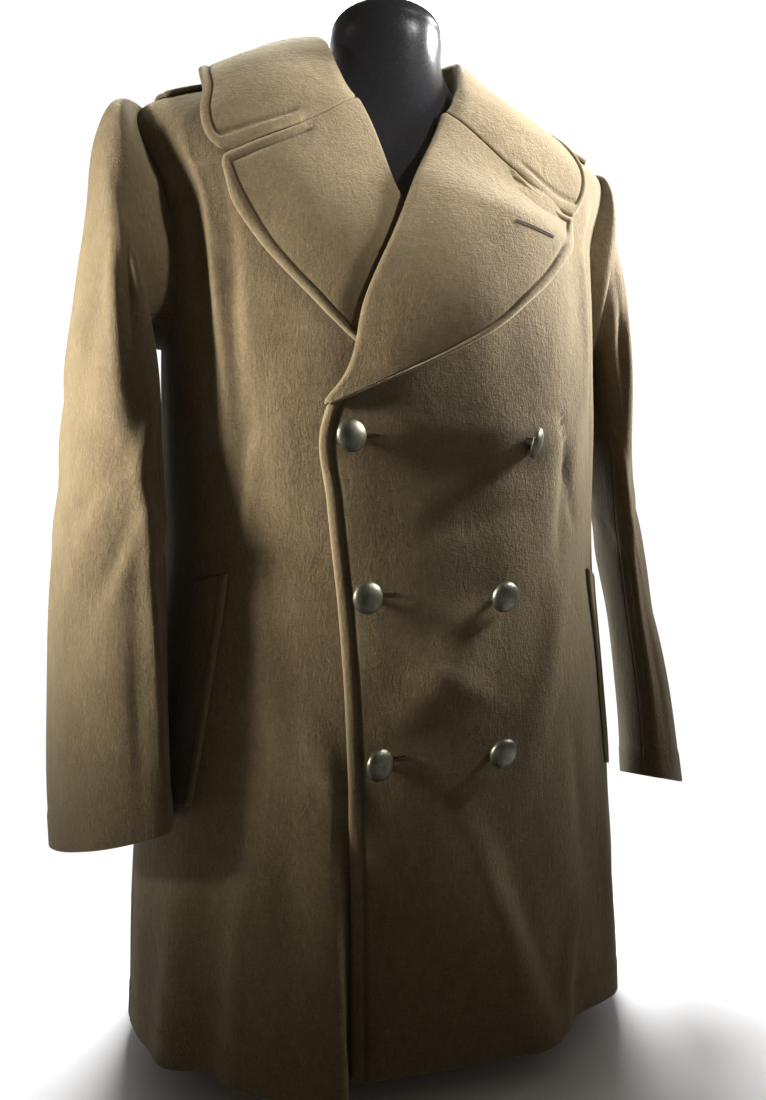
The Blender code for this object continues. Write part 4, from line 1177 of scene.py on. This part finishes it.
def button(place):
    """A domed metal button, and the wound thread that it hangs on."""
    r, low = BUTTON_RADIUS, BUTTON_SHANK
    dome = [(r * math.cos(t), low + 0.0020 + BUTTON_DOME * math.sin(t))
            for t in np.radians(np.linspace(8, 88, 15))]
    profile = [(r * 0.30, low - 0.0010), (r * 0.84, low + 0.0002), (r * 0.97, low + 0.0005),
               (r * 1.0, low + 0.0011), (r * 1.0, low + 0.0016), (r * 0.985, low + 0.0020)] + dome
    seat, out, sideways, up, rise = button_frame(place)

    def set_down(points):
        return seat + points[:, :1] * sideways + points[:, 1:2] * up + (points[:, 2:] + rise) * out

    points, faces = turned_round(profile, 40)
    cap = new_piece(f"{place.name}_metal", set_down(points), faces, finish(METAL), RIM_SHARP)
    shank = [(0.0031, 0.0), (0.0026, 0.0008)]
    shank += [(0.0027 + 0.0003 * (k % 2), 0.0012 + 0.0005 * k) for k in range(9)]
    shank += [(0.0030, low - 0.0010)]
    points, faces = turned_round(shank, 16)
    wound = new_piece(f"{place.name}_thread", set_down(points), faces, finish(THREAD))
    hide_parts(place.name)


def form_piece():
    """The smooth torso form and its neck."""
    columns, rows = 128, 70
    turns = np.linspace(0, 2 * math.pi, columns, endpoint=False)
    low = form_point(turns, np.zeros(columns))
    low[:, 2] = 0
    rings = [low * [0.97, 0.97, 1], low + [0, 0, 0.004]]
    for share in np.linspace(0.02, 0.90, rows):
        ring = form_point(turns, np.full(columns, share))
        if ring[:, 2].min() > 0.006:
            rings.append(ring)
    shoulder = rings[-1]
    knots = [ring.z for ring in NECK_RINGS]

    def neck_ring(z):
        radius = curve(knots, [ring.radius for ring in NECK_RINGS], max(z, NECK_FOOT))
        forward = curve(knots, [ring.forward for ring in NECK_RINGS], max(z, NECK_FOOT))
        if z > CAP_FOOT:
            radius = CAP_RADIUS * math.sqrt(max(1 - ((z - CAP_FOOT) / CAP_HIGH) ** 2.4, 0.0))
        x, y = radius * np.sin(turns), -radius * np.cos(turns) - forward
        return np.stack([x, y, np.full(columns, z)], -1)

    for t in np.linspace(0, 1, 34)[1:]:
        torso = form_point(turns, np.full(columns, 0.90 + 0.10 * t))
        above = neck_ring(NECK_FOOT - 0.10 * (1 - t) ** 1.3)
        weight = smooth_step(t * 1.02) ** 0.8
        rings.append(torso * (1 - weight) + above * weight)
    straight = np.linspace(0.875, CAP_FOOT, 7)
    for z in np.concatenate([straight, np.linspace(CAP_FOOT + 0.001, CAP_FOOT + CAP_HIGH, 22)]):
        rings.append(neck_ring(z))
    points = np.concatenate(rings)
    faces = [tuple(range(columns))[::-1]]
    for r in range(len(rings) - 1):
        for c in range(columns):
            after, a, b = (c + 1) % columns, r * columns, (r + 1) * columns
            faces.append((a + c, a + after, b + after, b + c))
    faces.append(tuple((len(rings) - 1) * columns + c for c in range(columns)))
    made = new_piece("dress_form_lacquered", points, faces, finish(LACQUER),
                     FORM_SHARP)
    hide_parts("dress_form")


def thread_line(path):
    """Points and faces of one stitch: a closed tube along a path."""
    path = np.asarray(path, float)
    along = np.gradient(path, axis=0)
    along /= np.linalg.norm(along, axis=-1, keepdims=True)
    first = np.cross(along, np.broadcast_to([0.0, 1.0, 0.02], path.shape))
    first /= np.linalg.norm(first, axis=-1, keepdims=True)
    second = np.cross(along, first)
    sides = THREAD_SIDES
    angles = np.linspace(0, 2 * math.pi, sides, endpoint=False)[None, :, None]
    ring = first[:, None] * np.cos(angles) + second[:, None] * np.sin(angles)
    points = path[:, None] + THREAD_RADIUS * ring
    faces = [tuple(range(sides))[::-1]]
    for r in range(len(path) - 1):
        for k in range(sides):
            after, a, b = (k + 1) % sides, r * sides, (r + 1) * sides
            faces.append((a + k, a + after, b + after, b + k))
    faces.append(tuple((len(path) - 1) * sides + k for k in range(sides)))
    return points.reshape(-1, 3), faces


def joined(name, parts, material):
    """One piece of several sets of points and faces."""
    points, faces, count = [], [], 0
    for part_points, part_faces in parts:
        points.append(part_points)
        faces += [tuple(i + count for i in face) for face in part_faces]
        count += len(part_points)
    return new_piece(name, np.concatenate(points), faces, material)


# Buttonholes: where each starts and how it runs, in x and height on the left front's face
Buttonhole = namedtuple("Buttonhole", "x z run_x run_z")
BUTTONHOLES = (
    Buttonhole(-0.0800, 0.5175, 0.026, 0.0000),
    Buttonhole(-0.0675, 0.3950, 0.026, 0.0010),
    Buttonhole(-0.0635, 0.2700, 0.026, 0.0014),
)
# The lapel's buttonhole: shares up the lapel and across it, at its two ends
LAPEL_HOLE = ((0.725, 0.60), (0.745, 0.84))
# Stitches: how many on each side of a slit, the steps outwards of each, how far they reach on a
# front (metres) and on the lapel (share), how high they stand, and the thread itself
STITCHES = 30
STITCH_STEPS = (0.15, 0.5, 0.9, 1.15)
FRONT_REACH = 0.0013
LAPEL_REACH = 0.0065
STITCH_HIGH = 0.0005
THREAD_RADIUS = 0.00036
THREAD_SIDES = 5


def stitch_rise(step):
    """How high a stitch stands at one of its steps."""
    return STITCH_HIGH * math.sin(math.pi * step / 1.3)


def front_stitch(hole, t, way):
    """One stitch of a front's buttonhole, t along it and out to one side."""
    path = []
    for step in STITCH_STEPS:
        height = hole.z + hole.run_z * t + way * FRONT_REACH * step
        turn, share = ring_at(hole.x + hole.run_x * t, height)
        lift = float(over_lift(turn, share)) + stitch_rise(step)
        path.append(body("left", turn, share, lift))
    return thread_line(path)


def lapel_stitch(t, way):
    """One stitch of the lapel's buttonhole."""
    (share_a, across_a), (share_b, across_b) = LAPEL_HOLE
    across = across_a + (across_b - across_a) * t
    path = []
    for step in STITCH_STEPS:
        share = share_a + (share_b - share_a) * t + way * LAPEL_REACH * step
        path.append(lapel_point("left", share, across, DOUBLE_WALL / 2 + stitch_rise(step)))
    return thread_line(path)


def buttonholes():
    """Worked buttonholes: close crossing stitches beside a slit."""
    parts = []
    for t in np.arange(STITCHES) / (STITCHES - 1):
        for way in (-1, 1):
            parts += [front_stitch(hole, t, way) for hole in BUTTONHOLES]
            parts.append(lapel_stitch(t, way))
    made = joined("buttonhole_stitching", parts, finish(THREAD))


class CoatSizes(bpy.types.PropertyGroup):
    """Sizes that shape the cloth."""

    grid: FloatProperty(name="Mesh spacing", description="Distance between points of the cloth",
                        default=0.0042, min=0.002, max=0.02, subtype="DISTANCE", unit="LENGTH")
    stitch_in: FloatProperty(name="Topstitch distance",
                             description="How far the topstitching lies in from an edge",
                             default=0.0109, subtype="DISTANCE", unit="LENGTH")
    puff: FloatProperty(name="Rim fullness", description="How far a stitched rim swells",
                        default=0.0015, subtype="DISTANCE", unit="LENGTH")
    groove: FloatProperty(name="Groove depth", description="How deep the topstitching draws in",
                          default=0.0015, subtype="DISTANCE", unit="LENGTH")
    roll: FloatProperty(name="Lapel roll", description="Radius of the lapel's turned roll",
                        default=0.0026, subtype="DISTANCE", unit="LENGTH")
    collar_round: FloatProperty(name="Collar corner",
                                description="Radius of the collar's end corner",
                                default=0.016, subtype="DISTANCE", unit="LENGTH")
    lapel_round: FloatProperty(name="Lapel corner", description="Radius of the lapel's tip",
                               default=0.010, subtype="DISTANCE", unit="LENGTH")


class CoatColours(bpy.types.PropertyGroup):
    """Colours of the cloth, the form and the metal."""

    wool_dark: FloatVectorProperty(name="Dark wool", description="Colour of the darkest fibres",
                                   subtype="COLOR", default=(0.044, 0.029, 0.0135))
    wool_middle: FloatVectorProperty(name="Wool", description="Colour of most of the cloth",
                                     subtype="COLOR", default=(0.093, 0.067, 0.033))
    wool_light: FloatVectorProperty(name="Light wool", description="Colour of the palest fibres",
                                    subtype="COLOR", default=(0.190, 0.146, 0.081))
    wool_fleck: FloatVectorProperty(name="Flecks", description="Colour of the stray pale fibres",
                                    subtype="COLOR", default=(0.46, 0.40, 0.27))
    form_black: FloatVectorProperty(name="Form", description="Colour of the form's lacquer",
                                    subtype="COLOR", default=(0.006, 0.006, 0.007))
    metal: FloatVectorProperty(name="Buttons", description="Colour of the bronzed metal",
                               subtype="COLOR", default=(0.13, 0.127, 0.092))


class StageSizes(bpy.types.PropertyGroup):
    """The stage's light and table."""

    left: FloatProperty(name="Left light", description="Strength of the light at the upper left",
                        default=3.9, subtype="POWER", unit="POWER")
    right: FloatProperty(name="Right light",
                         description="Strength of the light at the upper right",
                         default=5.8, subtype="POWER", unit="POWER")
    top: FloatProperty(name="Top light", description="Strength of the wide light over the table",
                       default=26.0, subtype="POWER", unit="POWER")
    front: FloatProperty(name="Front light", description="Strength of the small light in front",
                         default=1.6, subtype="POWER", unit="POWER")
    room: FloatProperty(name="Room light", description="Strength of the light from the dim room",
                        default=0.11, min=0, max=4)
    wall: FloatProperty(name="Wall light", description="Brightness of the pale wall behind",
                        default=1.05, min=0, max=4)
    table: FloatVectorProperty(name="Table", description="Colour of the table", subtype="COLOR",
                               default=(0.86, 0.86, 0.87))


class COAT_OT_form(bpy.types.Operator):
    """Builds the black torso form"""

    bl_idname = "coat.form"
    bl_label = "Dress form"

    def execute(self, context):
        form_piece()
        return {"FINISHED"}


class COAT_OT_fronts(bpy.types.Operator):
    """Builds both fronts with their darts, folds and stitched edges"""

    bl_idname = "coat.fronts"
    bl_label = "Fronts"

    def execute(self, context):
        for side in ("left", "right"):
            front_panel(side)
        return {"FINISHED"}


class COAT_OT_backs(bpy.types.Operator):
    """Builds both halves of the back"""

    bl_idname = "coat.backs"
    bl_label = "Backs"

    def execute(self, context):
        for side in ("left", "right"):
            back_panel(side)
        return {"FINISHED"}


class COAT_OT_sleeves(bpy.types.Operator):
    """Builds the two-piece sleeves"""

    bl_idname = "coat.sleeves"
    bl_label = "Sleeves"

    def execute(self, context):
        for side in ("left", "right"):
            sleeve_piece(side, "sleeve_top", HIND_SEAM - 2 * math.pi, FRONT_SEAM)
            sleeve_piece(side, "sleeve_under", FRONT_SEAM, HIND_SEAM)
        return {"FINISHED"}


class COAT_OT_collar(bpy.types.Operator):
    """Builds the collar and both lapels"""

    bl_idname = "coat.collar"
    bl_label = "Collar and lapels"

    def execute(self, context):
        collar_piece()
        for side in ("left", "right"):
            lapel_piece(side)
        return {"FINISHED"}


class COAT_OT_trim(bpy.types.Operator):
    """Builds the shoulder straps and pocket welts"""

    bl_idname = "coat.trim"
    bl_label = "Straps and welts"

    def execute(self, context):
        for side in ("left", "right"):
            shoulder_strap(side)
            pocket_welt(side)
        return {"FINISHED"}


class COAT_OT_buttons(bpy.types.Operator):
    """Builds the buttons and the worked buttonholes"""

    bl_idname = "coat.buttons"
    bl_label = "Buttons and buttonholes"

    def execute(self, context):
        for place in BUTTONS:
            button(place)
        buttonholes()
        return {"FINISHED"}


def plain_finish(name, colour, roughness):
    """A plain pale surface with a little unevenness."""
    material, tree, shader = new_finish(name)
    where = object_place(tree)
    cloud = cloudiness(tree, where, 3, 2)
    dim = tuple(c * 0.96 for c in colour)
    tree.links.new(mix_colour(tree, spread(tree, cloud, 0.3, 0.7), dim, tuple(colour)),
                   shader.inputs["Base Color"])
    shader.inputs["Roughness"].default_value = roughness
    return material


# The camera: where it stands, which way it looks in degrees, and its lens
CAMERA_PLACE = (-0.299, -0.809, 0.448)
CAMERA_YAW = 20.3
CAMERA_PITCH = -1.43
CAMERA_ROLL = 0.2
CAMERA_LENS = 30.37
# The table: how far it reaches behind and in front of the camera, its half width and thickness,
# and how far its back edge is turned in degrees
TABLE_BACK = 1.11
TABLE_FRONT = 1.6
TABLE_HALF = 2.2
TABLE_THICK = 0.03
TABLE_TURN = 1.0

# The lights: where each stands, what it is aimed at, its size, the setting that holds its
# strength, its colour and how far it spreads in degrees
StageLight = namedtuple("StageLight", "name place aim size setting colour spread_to")
LIGHTS = (
    StageLight("left_light", (-1.18, 0.00, 0.80), (-0.25, 0.0, 0.56), 0.45, "left",
               (1.0, 0.98, 0.94), 26),
    StageLight("right_light", (1.18, -0.08, 1.26), (0.12, -0.10, 0.74), 0.40, "right",
               (1.0, 0.98, 0.95), 34),
    StageLight("front_light", (0.84, -1.25, 1.06), (0.01, 0.0, 0.88), 0.14, "front",
               (1.0, 1.0, 1.0), 26),
    StageLight("table_light", (0.35, 0.95, 1.7), (0.20, 0.25, 0.0), 0.9, "top",
               (1.0, 1.0, 1.0), 110),
)


def viewing_axes():
    """The camera's ways to the right and up, and the way it looks."""
    yaw, pitch, roll = (math.radians(a) for a in (CAMERA_YAW, CAMERA_PITCH, CAMERA_ROLL))
    level = math.cos(pitch)
    ahead = Vector((math.sin(yaw) * level, math.cos(yaw) * level, math.sin(pitch)))
    right = Vector((math.cos(yaw), -math.sin(yaw), 0))
    up = right.cross(ahead)
    return (right * math.cos(roll) + up * math.sin(roll),
            up * math.cos(roll) - right * math.sin(roll), ahead)


def soft_light(row, power):
    """A round area light, aimed at a point."""
    light = bpy.data.lights.new(row.name, "AREA")
    light.spread = math.radians(row.spread_to)
    light.shape = "DISK"
    light.size = row.size
    light.energy = power
    light.color = row.colour
    made = bpy.data.objects.new(row.name, light)
    made.location = row.place
    aim = Vector(row.aim) - Vector(row.place)
    made.rotation_euler = aim.to_track_quat("-Z", "Y").to_euler()
    bpy.context.scene.collection.objects.link(made)


def table_top(level, colour):
    """The plain table that the form stands on."""
    sideways = Vector((level.y, -level.x, 0))
    turned = math.radians(TABLE_TURN)
    tilt = sideways * math.cos(turned) + level * math.sin(turned)
    centre = Vector((CAMERA_PLACE[0], CAMERA_PLACE[1], 0))
    back, near = centre + level * TABLE_BACK, centre - level * TABLE_FRONT
    corners = [near - sideways * TABLE_HALF, near + sideways * TABLE_HALF,
               back + tilt * TABLE_HALF, back - tilt * TABLE_HALF]
    top = [tuple(c) for c in corners]
    under = [(c[0], c[1], -TABLE_THICK) for c in top]
    sides = [(k, k + 4, (k + 1) % 4 + 4, (k + 1) % 4) for k in range(4)]
    mesh = bpy.data.meshes.new("table_top")
    mesh.from_pydata(top + under, [], [(0, 1, 2, 3), (7, 6, 5, 4)] + sides)
    mesh.materials.append(plain_finish("pale_table", colour, 0.55))
    table = bpy.data.objects.new("table_top", mesh)
    bpy.context.scene.collection.objects.link(table)


def pale_room(level, stage):
    """A bright wall the way that the camera looks, and a dim warm room about the rest."""
    world = bpy.data.worlds.new("pale_room")
    world.use_nodes = True
    tree = world.node_tree
    background = tree.nodes["Background"]
    towards = tree.nodes.new("ShaderNodeVectorMath")
    towards.operation = "DOT_PRODUCT"
    towards.inputs[1].default_value = (level.x, level.y, 0.0)
    way = tree.nodes.new("ShaderNodeTexCoord").outputs["Generated"]
    tree.links.new(way, towards.inputs[0])
    towards = towards.outputs["Value"]
    glow = spread(tree, towards, 0.52, 0.78, stage.room, stage.wall)
    tree.links.new(glow, background.inputs["Strength"])
    warmth = spread(tree, towards, -0.2, 0.6)
    colour = mix_colour(tree, warmth, (1.0, 0.84, 0.68), (1.0, 1.0, 1.0))
    tree.links.new(colour, background.inputs["Color"])
    bpy.context.scene.world = world


class COAT_OT_stage(bpy.types.Operator):
    """Sets the table, the soft light and the camera"""

    bl_idname = "coat.stage"
    bl_label = "Stage"

    def execute(self, context):
        stage = context.scene.coat_stage
        right, up, ahead = viewing_axes()
        level = Vector((ahead.x, ahead.y, 0)).normalized()
        table_top(level, stage.table)
        pale_room(level, stage)
        context.scene.view_settings.view_transform = "Standard"
        for row in LIGHTS:
            soft_light(row, getattr(stage, row.setting))

        data = bpy.data.cameras.new("photo_camera")
        data.sensor_fit = "AUTO"
        data.sensor_width = 36
        data.lens = CAMERA_LENS
        camera = bpy.data.objects.new("photo_camera", data)
        placed = Matrix((right, up, -ahead)).transposed().to_4x4()
        placed.translation = Vector(CAMERA_PLACE)
        camera.matrix_world = placed
        context.scene.collection.objects.link(camera)
        context.scene.camera = camera
        return {"FINISHED"}


STEPS = ("form", "backs", "fronts", "sleeves", "collar", "trim", "buttons", "stage")


class COAT_PT_panel(bpy.types.Panel):
    """Lists the coat's sizes, colours and steps"""

    bl_idname = "COAT_PT_panel"
    bl_label = "Greatcoat"
    bl_space_type = "VIEW_3D"
    bl_region_type = "UI"
    bl_category = "Greatcoat"

    def draw(self, context):
        scene = context.scene
        for group in (scene.coat_sizes, scene.coat_colours, scene.coat_stage):
            box = self.layout.box()
            for name in group.bl_rna.properties.keys():
                if name not in ("rna_type", "name"):
                    box.prop(group, name)
        for step in STEPS:
            self.layout.operator(f"coat.{step}")


CLASSES = (
    CoatSizes, CoatColours, StageSizes, COAT_OT_form, COAT_OT_fronts, COAT_OT_backs,
    COAT_OT_sleeves, COAT_OT_collar, COAT_OT_trim, COAT_OT_buttons, COAT_OT_stage, COAT_PT_panel,
)


def register():
    for each in CLASSES:
        bpy.utils.register_class(each)
    bpy.types.Scene.coat_sizes = PointerProperty(type=CoatSizes)
    bpy.types.Scene.coat_colours = PointerProperty(type=CoatColours)
    bpy.types.Scene.coat_stage = PointerProperty(type=StageSizes)


def unregister():
    for name in ("coat_sizes", "coat_colours", "coat_stage"):
        delattr(bpy.types.Scene, name)
    for each in reversed(CLASSES):
        bpy.utils.unregister_class(each)


def main():
    register()
    for step in STEPS:
        getattr(bpy.ops.coat, step)()
    bpy.context.view_layer.update()


if __name__ == "__main__":
    main()
